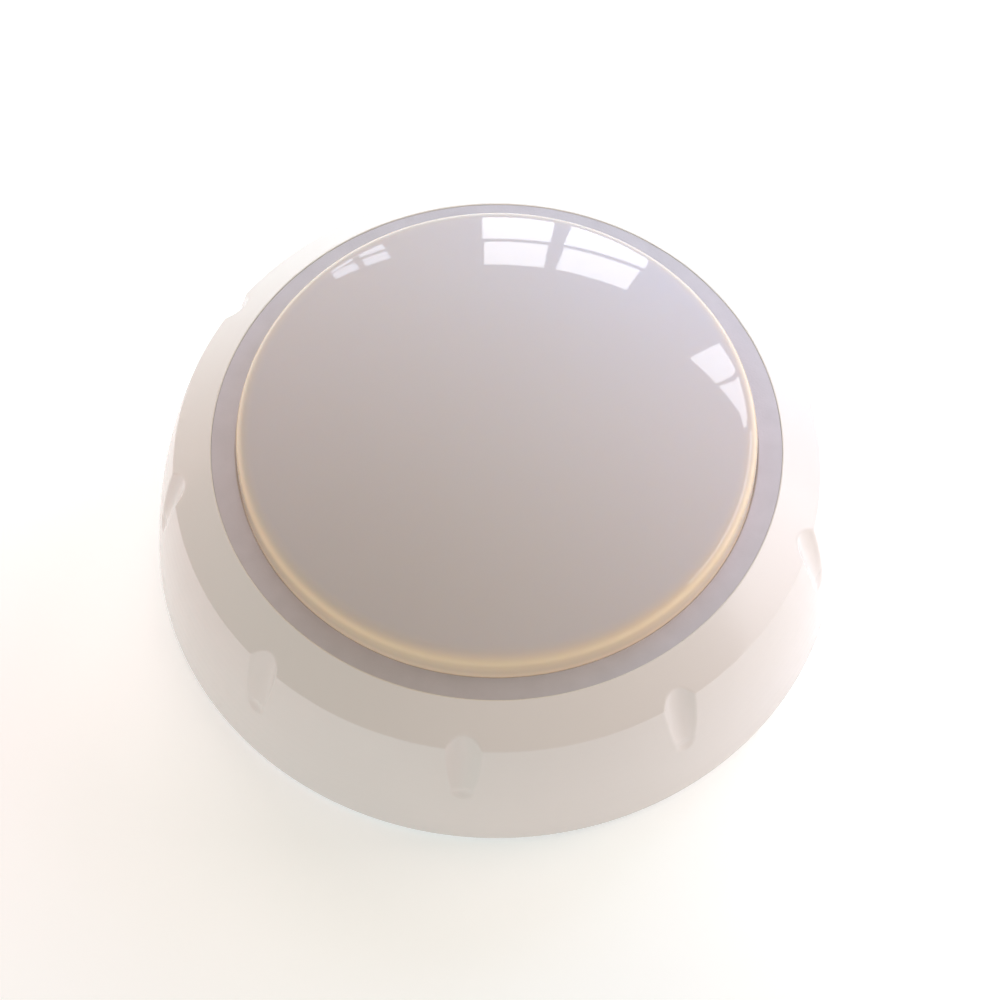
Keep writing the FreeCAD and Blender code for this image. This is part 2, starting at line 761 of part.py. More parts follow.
def make_power_leads():
    bend_radius = 1.2
    half_spacing = 0.6
    board_end_x = -22.6
    start_z = plate_top_z + power_body_height
    first_bend_z = start_z + 4.0
    second_bend_z = start_z + 5.2
    leads = []
    for y in (-half_spacing, half_spacing):
        leads.append(tube([
            V(power_switch_x, y, start_z),
            V(power_switch_x, y, first_bend_z),
            V(board_end_x, y, second_bend_z),
            V(board_end_x, y, board_bottom_z),
        ], bend_radius, lead_radius))
    return group(leads)


# ---------------------------------------------------------------- loudspeaker
def make_speaker_basket():
    """Pressed metal frame: flat rim, flared wall with four windows, flat back."""
    rim_top_z = speaker_rim_z + speaker_rim_thickness
    rim_width = 2.1
    rim_top_width = 1.8
    back_radius = 9.5
    back_inner_radius = 9.2
    window_circle = 12.8
    window_radius = 2.4
    window_bottom_z = rim_top_z + 0.1
    basket = turned_polygon([
        (speaker_radius - rim_width, speaker_rim_z),
        (speaker_radius, speaker_rim_z),
        (speaker_radius, rim_top_z),
        (speaker_radius - rim_top_width, rim_top_z),
        (back_radius, speaker_back_z + speaker_sheet),
        (0, speaker_back_z + speaker_sheet),
        (0, speaker_back_z),
        (back_inner_radius, speaker_back_z),
    ])
    for degrees in (45, 135, 225, 315):
        place = ring_point(window_circle, degrees)
        basket = basket.cut(cylinder(place.x, place.y, window_bottom_z, speaker_back_z + 2 * cut_over,
                                     window_radius))
    basket.translate(V(0, speaker_y, 0))
    return basket.removeSplitter()


def make_speaker_magnet():
    magnet_radius = 7.5
    magnet_thickness = 2.4
    magnet_rounding = 0.3
    bottom_z = speaker_back_z + speaker_sheet
    top_z = bottom_z + magnet_thickness
    magnet = cylinder(0, speaker_y, bottom_z, top_z, magnet_radius)
    return round_edges(magnet, magnet_rounding, circle_at(top_z, magnet_radius))


def make_speaker_cone():
    """Paper diaphragm with its rolled edge and a shallow dust cap."""
    edge_bottom_z = speaker_rim_z - cone_edge_thickness
    edge_radius = speaker_radius - 0.4
    paper_radius = 15.6
    paper_under_radius = 15.5
    cap_radius = 5.4
    cap_rim_z = (speaker_rim_z + 2.5, speaker_rim_z + 2.9)
    cap_middle_z = (speaker_rim_z + 2.1, speaker_rim_z + 2.4)
    cone = turned_polygon([
        (edge_radius, edge_bottom_z),
        (edge_radius, speaker_rim_z),
        (paper_radius, speaker_rim_z),
        (cap_radius, cap_rim_z[1]),
        (0, cap_middle_z[1]),
        (0, cap_middle_z[0]),
        (cap_radius, cap_rim_z[0]),
        (paper_under_radius, edge_bottom_z),
    ])
    cone.translate(V(0, speaker_y, 0))
    return cone


def make_speaker_gasket():
    """Foam ring between loudspeaker and base plate."""
    outer_radius = speaker_radius - 0.1
    inner_radius = speaker_radius - 2.4
    top_z = speaker_seat_z + gasket_thickness
    gasket = cylinder(0, speaker_y, speaker_seat_z, top_z, outer_radius)
    return gasket.cut(cylinder(0, speaker_y, speaker_seat_z, top_z, inner_radius))


def make_speaker_screws():
    """Wide-headed screws, driven down into the posts; their heads clamp the rim."""
    head_radius = 3.2
    head_height = 1.2
    rim_top_z = speaker_rim_z + speaker_rim_thickness
    screws = []
    for degrees in speaker_screw_angles:
        place = ring_point(speaker_screw_circle, degrees)
        fixing = screw(place.x, place.y, 0, head_radius, head_height, small_screw_shank, speaker_screw_length)
        fixing.rotate(V(place.x, place.y, 0), V(1, 0, 0), 180)
        fixing.translate(V(0, speaker_y, rim_top_z))
        screws.append(fixing)
    return group(screws)


def make_speaker_leads():
    rim_top_z = speaker_rim_z + speaker_rim_thickness
    bend_radius = 2.0
    start_x, start_y = 2.5, -2.1
    end_x, end_y = 4.5, -0.6
    first_bend_z = rim_top_z + 2.4
    second_bend_z = rim_top_z + 5.4
    leads = []
    for side in (-1, 1):
        leads.append(tube([
            V(side * start_x, start_y, rim_top_z),
            V(side * start_x, start_y, first_bend_z),
            V(side * end_x, end_y, second_bend_z),
            V(side * end_x, end_y, board_bottom_z),
        ], bend_radius, lead_radius))
    return group(leads)


# ---------------------------------------------------------------- the dome that is pressed
def dome_outline(inset, bottom_z):
    """Edges of the dome's half section, inset from its outside, from its foot up to the axis."""
    side_radius = dome_radius - inset
    edge_radius = dome_edge_radius - inset
    crown_radius = dome_crown_radius - inset
    crown_centre_z = dome_top_z - dome_crown_radius
    rise = math.sqrt((crown_radius - edge_radius) ** 2 - (side_radius - edge_radius) ** 2)
    edge_centre = (side_radius - edge_radius, crown_centre_z + rise)
    lean = math.atan2(side_radius - edge_radius, rise)
    crown_start = (crown_radius * math.sin(lean), crown_centre_z + crown_radius * math.cos(lean))
    crown_middle = (crown_radius * math.sin(lean / 2), crown_centre_z + crown_radius * math.cos(lean / 2))
    half_turn = (math.pi / 2 + lean) / 2
    edge_middle = (edge_centre[0] + edge_radius * math.sin(half_turn),
                   edge_centre[1] + edge_radius * math.cos(half_turn))
    side_top = (side_radius, edge_centre[1])
    top = (0, crown_centre_z + crown_radius)
    return [
        line(V(side_radius, 0, bottom_z), V(side_top[0], 0, side_top[1])),
        arc(side_top, edge_middle, crown_start),
        arc(crown_start, crown_middle, top),
    ]


def dome_solid(inset, bottom_z):
    edges = dome_outline(inset, bottom_z)
    top_z = dome_top_z - inset
    edges += outline([(0, top_z), (0, bottom_z), (dome_radius - inset, bottom_z)])
    return turn(edges)


def make_dome_cap():
    """Milky press dome: a thin cap with three screw posts inside."""
    post_skin = 0.5
    shell = dome_solid(0, flange_top_z).cut(dome_solid(dome_wall, flange_top_z - cut_over))
    cover = dome_solid(post_skin, flange_top_z)
    posts = []
    for degrees in dome_screw_angles:
        place = ring_point(dome_screw_circle, degrees)
        posts.append(cylinder(place.x, place.y, flange_top_z, dome_top_z, dome_post_radius).common(cover))
    cap = shell.fuse(posts)
    for degrees in dome_screw_angles:
        place = ring_point(dome_screw_circle, degrees)
        cap = cap.cut(cylinder(place.x, place.y, flange_top_z, flange_top_z + dome_post_bore_depth,
                               small_screw_shank))
    return cap.removeSplitter()


def make_button_carrier():
    """Disc under the dome: its edge is held by the trim ring and its middle works the switch."""
    rib_gap = 0.3
    rib_height = 1.5
    rib_thickness = 1.4
    post_play = 0.05
    post_radius = 3.5
    disc = cylinder(0, 0, flange_bottom_z, flange_top_z, flange_radius)
    rib_radius = dome_radius - dome_wall - rib_gap
    rib_top_z = flange_top_z + rib_height
    rib = cylinder(0, 0, flange_top_z, rib_top_z, rib_radius)
    rib = rib.cut(cylinder(0, 0, flange_top_z, rib_top_z, rib_radius - rib_thickness))
    post_bottom_z = board_top_z + plunger_top_height + dome_travel - switch_travel + post_play
    post = cylinder(0, 0, post_bottom_z, flange_bottom_z, post_radius)
    seats = []
    for degrees in spring_angles:
        place = ring_point(spring_circle, degrees)
        seats.append(cylinder(place.x, place.y, flange_bottom_z - spring_seat_height, flange_bottom_z,
                              spring_seat_radius))
    carrier = disc.fuse([rib, post] + seats)
    led_gap = 1.1
    cut_bottom_z = flange_bottom_z - cut_over
    cut_top_z = flange_top_z + cut_over
    cuts = []
    for degrees in led_angles:
        place = ring_point(led_circle, degrees)
        cuts.append(cylinder(place.x, place.y, cut_bottom_z, cut_top_z, led_radius + led_gap))
    for degrees in dome_screw_angles:
        place = ring_point(dome_screw_circle, degrees)
        cuts.append(cylinder(place.x, place.y, cut_bottom_z, cut_top_z, small_screw_shank))
    return carrier.cut(cuts).removeSplitter()


def make_dome_screws():
    screws = []
    for degrees in dome_screw_angles:
        place = ring_point(dome_screw_circle, degrees)
        screws.append(screw(place.x, place.y, flange_bottom_z, small_screw_head, small_screw_head_height,
                            small_screw_shank, dome_screw_length))
    return group(screws)


def make_return_spring(degrees):
    place = ring_point(spring_circle, degrees)
    return coil(place.x, place.y, spring_cup_floor_z, flange_bottom_z, spring_coil_radius,
                spring_wire_radius, spring_turns)


# ---------------------------------------------------------------- assembly
def main():
    parts = {
        "housing": make_housing(),
        "trim_ring": make_trim_ring(),
        "base_plate": make_base_plate(),
        "rubber_feet": make_rubber_feet(),
        "case_screws": make_case_screws(),
        "battery_door": make_battery_door(),
        "battery_door_screw": make_door_screw(),
        "battery_front": make_cell(cell_y[0], True),
        "battery_rear": make_cell(cell_y[1], False),
        "battery_contacts": make_battery_contacts(),
        "battery_springs": make_battery_springs(),
        "battery_leads": make_battery_leads(),
        "circuit_board": make_circuit_board(),
        "board_screws": make_board_screws(),
        "sound_chip": make_sound_chip(),
        "capacitor": make_capacitor(),
        "resistors": make_resistors(),
        "leds": make_leds(),
        "switch_body": make_switch_body(),
        "switch_plunger": make_switch_plunger(),
        "power_switch_body": make_power_switch_body(),
        "power_switch_knob": make_power_switch_knob(),
        "power_leads": make_power_leads(),
        "speaker_basket": make_speaker_basket(),
        "speaker_magnet": make_speaker_magnet(),
        "speaker_cone": make_speaker_cone(),
        "speaker_gasket": make_speaker_gasket(),
        "speaker_screws": make_speaker_screws(),
        "speaker_leads": make_speaker_leads(),
        "dome_cap": make_dome_cap(),
        "button_carrier": make_button_carrier(),
        "dome_screws": make_dome_screws(),
    }
    for number, degrees in enumerate(spring_angles, start=1):
        parts[f"return_spring_{number}"] = make_return_spring(degrees)

    os.makedirs("parts", exist_ok=True)
    for name, shape in parts.items():
        shape.exportStep(f"parts/{name}.step")
        solids = len(shape.Solids)
        print(f"{name}: {solids} solid(s), {shape.Volume:.1f} mm3, valid {shape.isValid()}")


main()
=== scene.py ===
import math
from functools import partial

import bmesh
import bpy
from bpy.props import FloatProperty, FloatVectorProperty, IntProperty, PointerProperty
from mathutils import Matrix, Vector


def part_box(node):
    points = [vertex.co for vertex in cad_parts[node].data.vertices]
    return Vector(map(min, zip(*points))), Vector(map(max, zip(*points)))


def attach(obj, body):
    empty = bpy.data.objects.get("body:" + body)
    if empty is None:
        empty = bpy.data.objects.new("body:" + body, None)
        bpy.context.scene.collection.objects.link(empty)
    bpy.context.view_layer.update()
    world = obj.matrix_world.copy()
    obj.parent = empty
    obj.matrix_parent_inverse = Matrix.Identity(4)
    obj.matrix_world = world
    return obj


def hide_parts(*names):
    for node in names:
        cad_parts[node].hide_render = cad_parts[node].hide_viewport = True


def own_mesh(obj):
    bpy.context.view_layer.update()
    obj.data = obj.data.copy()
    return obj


bl_info = {
    "name": "Quiz buzzer",
    "version": (1, 0, 0),
    "blender": (4, 5, 0),
    "location": "3D View > Sidebar > Quiz buzzer",
    "description": "Makes the visible pieces, finishes and stage of a round quiz buzzer",
    "category": "Object",
}

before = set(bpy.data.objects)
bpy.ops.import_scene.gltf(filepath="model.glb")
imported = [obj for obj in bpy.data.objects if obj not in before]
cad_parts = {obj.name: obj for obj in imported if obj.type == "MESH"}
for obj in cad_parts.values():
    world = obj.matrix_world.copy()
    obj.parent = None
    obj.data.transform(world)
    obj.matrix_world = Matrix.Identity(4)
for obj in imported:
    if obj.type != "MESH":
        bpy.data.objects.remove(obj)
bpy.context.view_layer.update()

MM = 0.001
FULL_TURN = 2 * math.pi
QUARTER_TURN = math.pi / 2
CASE_SCREW_ANGLES = (-125, -55, 75, 105)
DOME_SCREW_ANGLES = (30, 150, 270)
SPEAKER_SCREW_ANGLES = (30, 150)
LAMP_ANGLES = (30, 150, 270)
SPRING_ANGLES = (90, 210, 330)
RUBBER_FOOT_ANGLES = (-152, -28, 59, 121)
BOARD_SCREW_PLACES = ((-20.5 * MM, -4 * MM), (20.5 * MM, -4 * MM), (0.0, -21 * MM))


def node_radius(node):
    """Half the width of a round CAD node."""
    low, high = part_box(node)
    return (high.x - low.x) / 2


def node_bottom(node):
    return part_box(node)[0].z


def node_top(node):
    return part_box(node)[1].z


def node_middle(node):
    low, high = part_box(node)
    return (low.x + high.x) / 2, (low.y + high.y) / 2


# ---------------- settings
def length(name, description, default):
    return FloatProperty(name=name, description=description, default=default, unit="LENGTH", precision=5)


def colour(name, description, default):
    return FloatVectorProperty(name=name, description=description, default=default, size=3,
                               subtype="COLOR", min=0.0, max=1.0)


class HousingSettings(bpy.types.PropertyGroup):
    """Sizes of the case's outer moulding; heights are from the case's foot."""
    foot_radius: length("Foot radius", "Radius of the case at its foot", node_radius("housing"))
    wall_curve_radius: length("Wall curve", "Radius of the arc that the side wall bulges along", 85 * MM)
    wall_thickness: length("Wall", "Thickness of the side wall", 2.4 * MM)
    shoulder_height: length("Shoulder height", "Edge between side wall and collar", 19.9 * MM)
    collar_top_height: length("Collar top height", "Upper edge of the sloping collar", 24.95 * MM)
    collar_top_radius: length("Collar top radius", "Radius of the collar's upper edge", 37.95 * MM)
    recess_radius: length("Recess radius", "Radius of the seat of the trim ring", 37.75 * MM)
    well_radius: length("Well radius", "Inside radius of the well that the dome moves in", 36.6 * MM)
    well_wall: length("Well wall", "Thickness of the well's wall", 1.4 * MM)
    deck_height: length("Deck height", "Top of the deck under the dome", 18.3 * MM)
    deck_thickness: length("Deck", "Thickness of the deck", 1.5 * MM)
    edge_rounding: length("Edge rounding", "Rounding of the shoulder edge", 0.5 * MM)
    lamp_circle: length("Lamp circle", "Radius of the circle of lamp openings in the deck", 14 * MM)
    lamp_hole: length("Lamp hole", "Radius of a lamp opening", 3.2 * MM)
    switch_hole: length("Switch hole", "Width of the square opening over the switch", 7 * MM)
    scallop_count: IntProperty(name="Scallops", description="Number of finger scallops", default=9, min=3)
    scallop_radius: length("Scallop radius", "Radius of the round cutter that forms a scallop", 3.4 * MM)
    scallop_lean: FloatProperty(name="Scallop lean", description="How far the cutter leans inwards",
                                default=math.radians(15.1), unit="ROTATION")
    scallop_reach_radius: length("Scallop reach", "Where the deepest line meets the collar", 41.36 * MM)
    scallop_reach_height: length("Scallop reach height", "Height of that point", 21.45 * MM)
    scallop_nose_height: length("Scallop nose height", "Centre of the cutter's round nose", 11.8 * MM)
    scallop_softness: length("Scallop softness", "Rounding of the scallops' edges", 0.2 * MM)
    plastic: colour("Plastic", "Cream-white plastic of the case", (0.80, 0.775, 0.74))


class RingSettings(bpy.types.PropertyGroup):
    """Flat trim ring round the dome."""
    seam: length("Seam", "Seam between the ring and its seat", 0.02 * MM)
    gap: length("Gap", "Gap round the dome", 0.02 * MM)
    fall: length("Fall", "How much lower the ring's top is at its outer edge", 0.3 * MM)
    inner_break: length("Inner edge", "Width of the inner edge's bevel", 0.18 * MM)
    plastic: colour("Plastic", "Grey-lilac plastic of the ring", (0.535, 0.515, 0.56))


class DomeSettings(bpy.types.PropertyGroup):
    """Press dome."""
    crown_radius: length("Crown", "Radius of the sphere that the crown is part of", 78 * MM)
    edge_radius: length("Edge rounding", "Rounding between side and crown", 2.6 * MM)
    wall: length("Wall", "Thickness of the dome", 1.8 * MM)
    crown_colour: colour("Crown colour", "Milky plastic over the hollow of the dome", (0.58, 0.54, 0.54))
    # the two side band colours are painted: a warm reflection and glow on the dome's side, the foot's colour
    # lighter against the ring's shade
    painted_band_top_colour: colour("Edge colour", "Milky plastic where side and crown meet", (0.84, 0.68, 0.44))
    painted_band_foot_colour: colour("Rim colour", "Milky plastic at the dome's side", (0.86, 0.73, 0.55))


class FixingSettings(bpy.types.PropertyGroup):
    """Screws, feet and springs."""
    case_screw_circle: length("Case screw circle", "Radius of the circle of case screws", 37.5 * MM)
    case_screw_head: length("Case screw head", "Head radius", 2.8 * MM)
    case_screw_shank: length("Case screw shank", "Shank radius", 1.3 * MM)
    dome_screw_circle: length("Dome screw circle", "Radius of the circle of dome screws", 27 * MM)
    small_screw_head: length("Small screw head", "Head radius of the board and dome screws", 2.1 * MM)
    small_screw_shank: length("Small screw shank", "Shank radius of the small screws", 1.0 * MM)
    foot_circle: length("Rubber foot circle", "Radius of the circle of rubber feet", 37.8 * MM)
    foot_radius: length("Rubber foot radius", "Radius of one rubber foot", 3.8 * MM)
    spring_circle: length("Spring circle", "Radius of the circle of return springs", 30.5 * MM)
    spring_cup_radius: length("Spring cup radius", "Inside radius of a return spring's cup", 4 * MM)
    spring_turns: IntProperty(name="Spring turns", description="Turns of a return spring", default=5, min=2)
    dome_travel: length("Dome travel", "How far the dome goes down", 2.5 * MM)


class StageSettings(bpy.types.PropertyGroup):
    """Camera, lights and floor."""
    azimuth: FloatProperty(name="Azimuth", description="Camera's turn to the right of the front",
                           default=math.radians(5.83), unit="ROTATION")
    elevation: FloatProperty(name="Elevation", description="Camera's height above the horizon",
                             default=math.radians(60.27), unit="ROTATION")
    distance: length("Distance", "From the camera to its aim", 2.223)
    lens: FloatProperty(name="Lens", description="Focal length in millimetres", default=600.0)
    aim_right: length("Aim right", "Aim's offset to the right of the case's foot", 0.435 * MM)
    aim_up: length("Aim up", "Aim's offset upwards in the picture", 5.756 * MM)
    light_distance: length("Light distance", "From the lights to the buzzer", 1.6)
    softbox_distance: length("Softbox distance", "From the near softboxes to the buzzer", 160 * MM)
    softbox_angle: FloatProperty(name="Softbox angle", description="Width of a near softbox in degrees",
                                 default=28.07)
    floor_edge: length("Floor edge", "From the middle of the floor to its edges", 4.0)
    floor_colour: colour("Floor", "Pale floor", (0.95, 0.945, 0.94))
    floor_glow: colour("Floor glow", "Light from under the floor, as on a light table", (0.26, 0.29, 0.30))


SETTINGS = {
    "buzzer_housing": HousingSettings,
    "buzzer_ring": RingSettings,
    "buzzer_dome": DomeSettings,
    "buzzer_fixings": FixingSettings,
    "buzzer_stage": StageSettings,
}


# ---------------- outlines and turned meshes
def arc_points(centre, radius, start, end, steps):
    """Points on an arc; angles are from straight up, towards +radius."""
    points = []
    for step in range(steps + 1):
        angle = start + (end - start) * step / steps
        points.append((centre[0] + radius * math.sin(angle), centre[1] + radius * math.cos(angle)))
    return points


def rounded_outline(corners, steps=5):
    """Closed outline from (radius, height, rounding) corners."""
    outline = []
    for index, (r, z, rounding) in enumerate(corners):
        here = Vector((r, z))
        if rounding == 0:
            outline.append((r, z))
            continue
        before = Vector(corners[index - 1][:2])
        after = Vector(corners[(index + 1) % len(corners)][:2])
        inwards = (before - here).normalized()
        onwards = (after - here).normalized()
        half = inwards.angle(onwards) / 2
        setback = rounding / math.tan(half)
        first = here + inwards * setback
        last = here + onwards * setback
        centre = here + (inwards + onwards).normalized() * (rounding / math.sin(half))
        for step in range(steps + 1):
            share = step / steps
            spoke = (first - centre).slerp(last - centre, share)
            outline.append(tuple(centre + spoke * rounding))
    return outline


def between(here, after, share):
    return here[0] + (after[0] - here[0]) * share, here[1] + (after[1] - here[1]) * share


def guarded(outline, reach):
    """Adds points near the ends of long straight stretches, so that smooth shading stays flat there."""
    result = []
    for here, after in zip(outline, outline[1:] + outline[:1]):
        result.append(here)
        run = math.dist(here, after)
        if run > 4 * reach:
            result += [between(here, after, share) for share in (reach / run, 1 - reach / run)]
    return result


def refined(outline, longest, wanted):
    """Splits the stretches that wanted(radius, height) picks until none is longer than longest."""
    result = []
    for here, after in zip(outline, outline[1:] + outline[:1]):
        result.append(here)
        middle = ((here[0] + after[0]) / 2, (here[1] + after[1]) / 2)
        if not wanted(*middle):
            continue
        pieces = math.ceil(math.dist(here, after) / longest)
        result += [between(here, after, piece / pieces) for piece in range(1, pieces)]
    return result


def even_angles(count):
    return [FULL_TURN * index / count for index in range(count)]


def add_lathe(bm, outline, angles, centre=(0.0, 0.0)):
    """Turns an outline about an upright axis. An outline whose two ends lie on the axis is closed there."""
    on_axis = 1e-8
    rings = []
    for r, z in outline:
        if r < on_axis:
            rings.append([bm.verts.new((centre[0], centre[1], z))])
            continue
        rings.append([bm.verts.new((centre[0] + r * math.cos(a), centre[1] + r * math.sin(a), z))
                      for a in angles])
    pairs = list(zip(rings, rings[1:]))
    if len(rings[0]) > 1 or len(rings[-1]) > 1:
        pairs.append((rings[-1], rings[0]))
    count = len(angles)
    for lower, upper in pairs:
        for index in range(count):
            following = (index + 1) % count
            if len(lower) == 1:
                bm.faces.new((lower[0], upper[index], upper[following]))
            elif len(upper) == 1:
                bm.faces.new((lower[index], lower[following], upper[0]))
            else:
                bm.faces.new((lower[index], lower[following], upper[following], upper[index]))


def linked(name, data):
    """A new object in the scene."""
    item = bpy.data.objects.new(name, data)
    bpy.context.scene.collection.objects.link(item)
    return item


def new_piece(name, bm, material=None):
    """A smooth-shaded object from a bmesh, with its faces pointing outwards."""
    bmesh.ops.recalc_face_normals(bm, faces=bm.faces)
    mesh = bpy.data.meshes.new(name)
    bm.to_mesh(mesh)
    bm.free()
    mesh.shade_smooth()
    piece = linked(name, mesh)
    if material:
        mesh.materials.append(material)
    return piece


def turned_piece(name, outline, angles, material=None):
    bm = bmesh.new()
    add_lathe(bm, outline, angles)
    return new_piece(name, bm, material)


def settle(piece):
    """Turns a piece and its modifiers into one plain mesh."""
    depsgraph = bpy.context.evaluated_depsgraph_get()
    mesh = bpy.data.meshes.new_from_object(piece.evaluated_get(depsgraph))
    piece.modifiers.clear()
    piece.data = mesh
    return piece


def hand_in(piece, body, slot, *nodes):
    """Puts a finished piece on its body in place of the CAD nodes that it stands for."""
    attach(piece, body)
    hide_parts(*nodes)


# ---------------- node trees
class NodeSheet:
    """Short ways to add and wire nodes in one tree."""

    def __init__(self, tree):
        self.tree = tree

    def add(self, kind, inputs=None, **settings):
        node = self.tree.nodes.new(kind)
        for name, value in settings.items():
            setattr(node, name, value)
        for name, value in (inputs or {}).items():
            self.feed(node.inputs[name], value)
        return node

    def feed(self, socket, value):
        if isinstance(value, bpy.types.NodeSocket):
            self.tree.links.new(value, socket)
        else:
            socket.default_value = value

    def math(self, operation, *values):
        node = self.add("ShaderNodeMath", operation=operation)
        for socket, value in zip(node.inputs, values):
            self.feed(socket, value)
        return node.outputs[0]

    def ramp(self, value, low, high):
        """0 up to low, 1 from high on, smooth between; the other way round if low is above high."""
        node = self.add("ShaderNodeMapRange", {"Value": value, "From Min": low, "From Max": high},
                        interpolation_type="SMOOTHSTEP")
        return node.outputs[0]

    def mix(self, factor, first, second):
        """A blend of two colours."""
        node = self.add("ShaderNodeMix", {"Factor": factor}, data_type="RGBA")
        first_colour, second_colour = 6, 7
        self.feed(node.inputs[first_colour], first)
        self.feed(node.inputs[second_colour], second)
        return node.outputs[2]

    def place(self, axis=None):
        """Where a point is on its object: the whole vector, or its part along X (0), Y (1) or Z (2)."""
        place = self.add("ShaderNodeTexCoord").outputs["Object"]
        return place if axis is None else self.add("ShaderNodeSeparateXYZ", {0: place}).outputs[axis]

    def instances(self, points, instance, turn):
        """One copy at every point, turned by the angles in turn."""
        turned = self.add("FunctionNodeEulerToRotation", {"Euler": turn})
        return self.add("GeometryNodeInstanceOnPoints", {
            "Points": points, "Instance": instance, "Rotation": turned.outputs[0]}).outputs[0]


def geometry_tree(name, inputs):
    """A Geometry Nodes tree with a geometry input and output and named inputs of the given kinds."""
    tree = bpy.data.node_groups.new(name, "GeometryNodeTree")
    tree.interface.new_socket("Geometry", in_out="INPUT", socket_type="NodeSocketGeometry")
    for input_name, kind in inputs.items():
        tree.interface.new_socket(input_name, in_out="INPUT", socket_type=kind)
    tree.interface.new_socket("Geometry", in_out="OUTPUT", socket_type="NodeSocketGeometry")
    sheet = NodeSheet(tree)
    entry = sheet.add("NodeGroupInput")
    return tree, sheet, entry.outputs


def end_tree(sheet, geometry, material):
    """Real geometry in one material, as the tree's result."""
    real = sheet.add("GeometryNodeRealizeInstances", {"Geometry": geometry})
    painted = sheet.add("GeometryNodeSetMaterial", {"Geometry": real.outputs[0], "Material": material})
    sheet.add("NodeGroupOutput", {"Geometry": painted.outputs[0]})


def grow(piece, tree, values):
    """Adds a Geometry Nodes modifier, sets its inputs by identifier and applies it."""
    modifier = piece.modifiers.new(tree.name, "NODES")
    modifier.node_group = tree
    for item in tree.interface.items_tree:
        if item.in_out == "INPUT" and item.name in values:
            modifier[item.identifier] = values[item.name]
    return settle(piece)


def scallop_tree():
    """Draws a turned wall inwards wherever a leaning round cutter would have reached it."""
    number, size, material = "NodeSocketInt", "NodeSocketFloat", "NodeSocketMaterial"
    tree, sheet, given = geometry_tree("Finger scallops", {
        "Count": number, "Cutter radius": size, "Lean": size, "Reach radius": size,
        "Reach height": size, "Nose height": size, "Softness": size, "Material": material})
    calc = sheet.math
    plus, minus, times, over = (partial(calc, kind) for kind in ("ADD", "SUBTRACT", "MULTIPLY", "DIVIDE"))

    def square(value):
        return times(value, value)

    position = sheet.add("GeometryNodeInputPosition").outputs[0]
    x, y, z = sheet.add("ShaderNodeSeparateXYZ", {0: position}).outputs
    cutter, lean = given["Cutter radius"], given["Lean"]
    radius = calc("SQRT", plus(square(x), square(y)))
    angle = plus(calc("ARCTAN2", y, x), QUARTER_TURN)
    half_pitch = over(math.pi, given["Count"])
    local = calc("WRAP", angle, half_pitch, times(half_pitch, -1.0))
    across, along = calc("SINE", local), calc("COSINE", local)
    # at each height the cutter is an ellipse, which shrinks below the centre of its nose
    semi_axis = over(cutter, calc("COSINE", lean))
    bore_z = calc("MAXIMUM", z, given["Nose height"])
    nose_square = minus(1.0, square(over(minus(bore_z, z), cutter)))
    deepest = minus(given["Reach radius"], times(minus(bore_z, given["Reach height"]), calc("TANGENT", lean)))
    cutter_middle = plus(deepest, semi_axis)
    long_square = square(semi_axis)
    # where a line outwards from the axis enters it: the lower root of a r^2 - 2 b r + c = 0
    a = plus(over(square(along), long_square), over(square(across), square(cutter)))
    b = over(times(cutter_middle, along), long_square)
    c = minus(over(square(cutter_middle), long_square), nose_square)
    root_square = minus(square(b), times(a, c))
    beside_cutter = calc("LESS_THAN", root_square, 0.0)
    root = calc("SQRT", calc("MAXIMUM", root_square, 0.0))
    cut_radius = plus(over(minus(b, root), a), beside_cutter)
    share = over(calc("SMOOTH_MIN", radius, cut_radius, given["Softness"]), radius)
    moved = sheet.add("ShaderNodeCombineXYZ", {0: times(x, share), 1: times(y, share), 2: z})
    shaped = sheet.add("GeometryNodeSetPosition", {
        "Geometry": given["Geometry"], "Position": moved.outputs[0]})
    end_tree(sheet, shaped.outputs[0], given["Material"])
    return tree


def copies_tree():
    """One template at every point of a mesh."""
    tree, sheet, given = geometry_tree("Copies on points", {
        "Template": "NodeSocketObject", "Turn": "NodeSocketVector", "Material": "NodeSocketMaterial"})
    template = sheet.add("GeometryNodeObjectInfo", {"Object": given["Template"], "As Instance": True})
    copies = sheet.instances(given["Geometry"], template.outputs["Geometry"], given["Turn"])
    end_tree(sheet, copies, given["Material"])
    return tree


def coil_tree():
    """An upright wire coil at every point of a mesh."""
    tree, sheet, given = geometry_tree("Wire coils", {
        "Turns": "NodeSocketFloat", "Coil radius": "NodeSocketFloat", "Length": "NodeSocketFloat",
        "Wire radius": "NodeSocketFloat", "Turn": "NodeSocketVector", "Material": "NodeSocketMaterial"})
    steps_per_turn = 28
    wire_sides = 10
    path = sheet.add("GeometryNodeCurveSpiral", {
        "Resolution": steps_per_turn, "Rotations": given["Turns"], "Start Radius": given["Coil radius"],
        "End Radius": given["Coil radius"], "Height": given["Length"]})
    section = sheet.add("GeometryNodeCurvePrimitiveCircle", {
        "Resolution": wire_sides, "Radius": given["Wire radius"]})
    wire = sheet.add("GeometryNodeCurveToMesh", {
        "Curve": path.outputs[0], "Profile Curve": section.outputs[0], "Fill Caps": True})
    copies = sheet.instances(given["Geometry"], wire.outputs[0], given["Turn"])
    end_tree(sheet, copies, given["Material"])
    return tree


def points_piece(name, places):
    """An object that holds only points, for a tree to grow things on."""
    mesh = bpy.data.meshes.new(name)
    mesh.from_pydata([tuple(place) for place in places], [], [])
    return linked(name, mesh)


def copy_on_points(name, template, places, material, turn=(0.0, 0.0, 0.0)):
    piece = points_piece(name, places)
    grow(piece, copies_tree(), {"Template": template, "Turn": turn, "Material": material})
    old_mesh = template.data
    bpy.data.objects.remove(template)
    bpy.data.meshes.remove(old_mesh)
    return piece


def circle_places(radius, degrees_list, z=0.0):
    return [(radius * math.cos(math.radians(d)), radius * math.sin(math.radians(d)), z)
            for d in degrees_list]


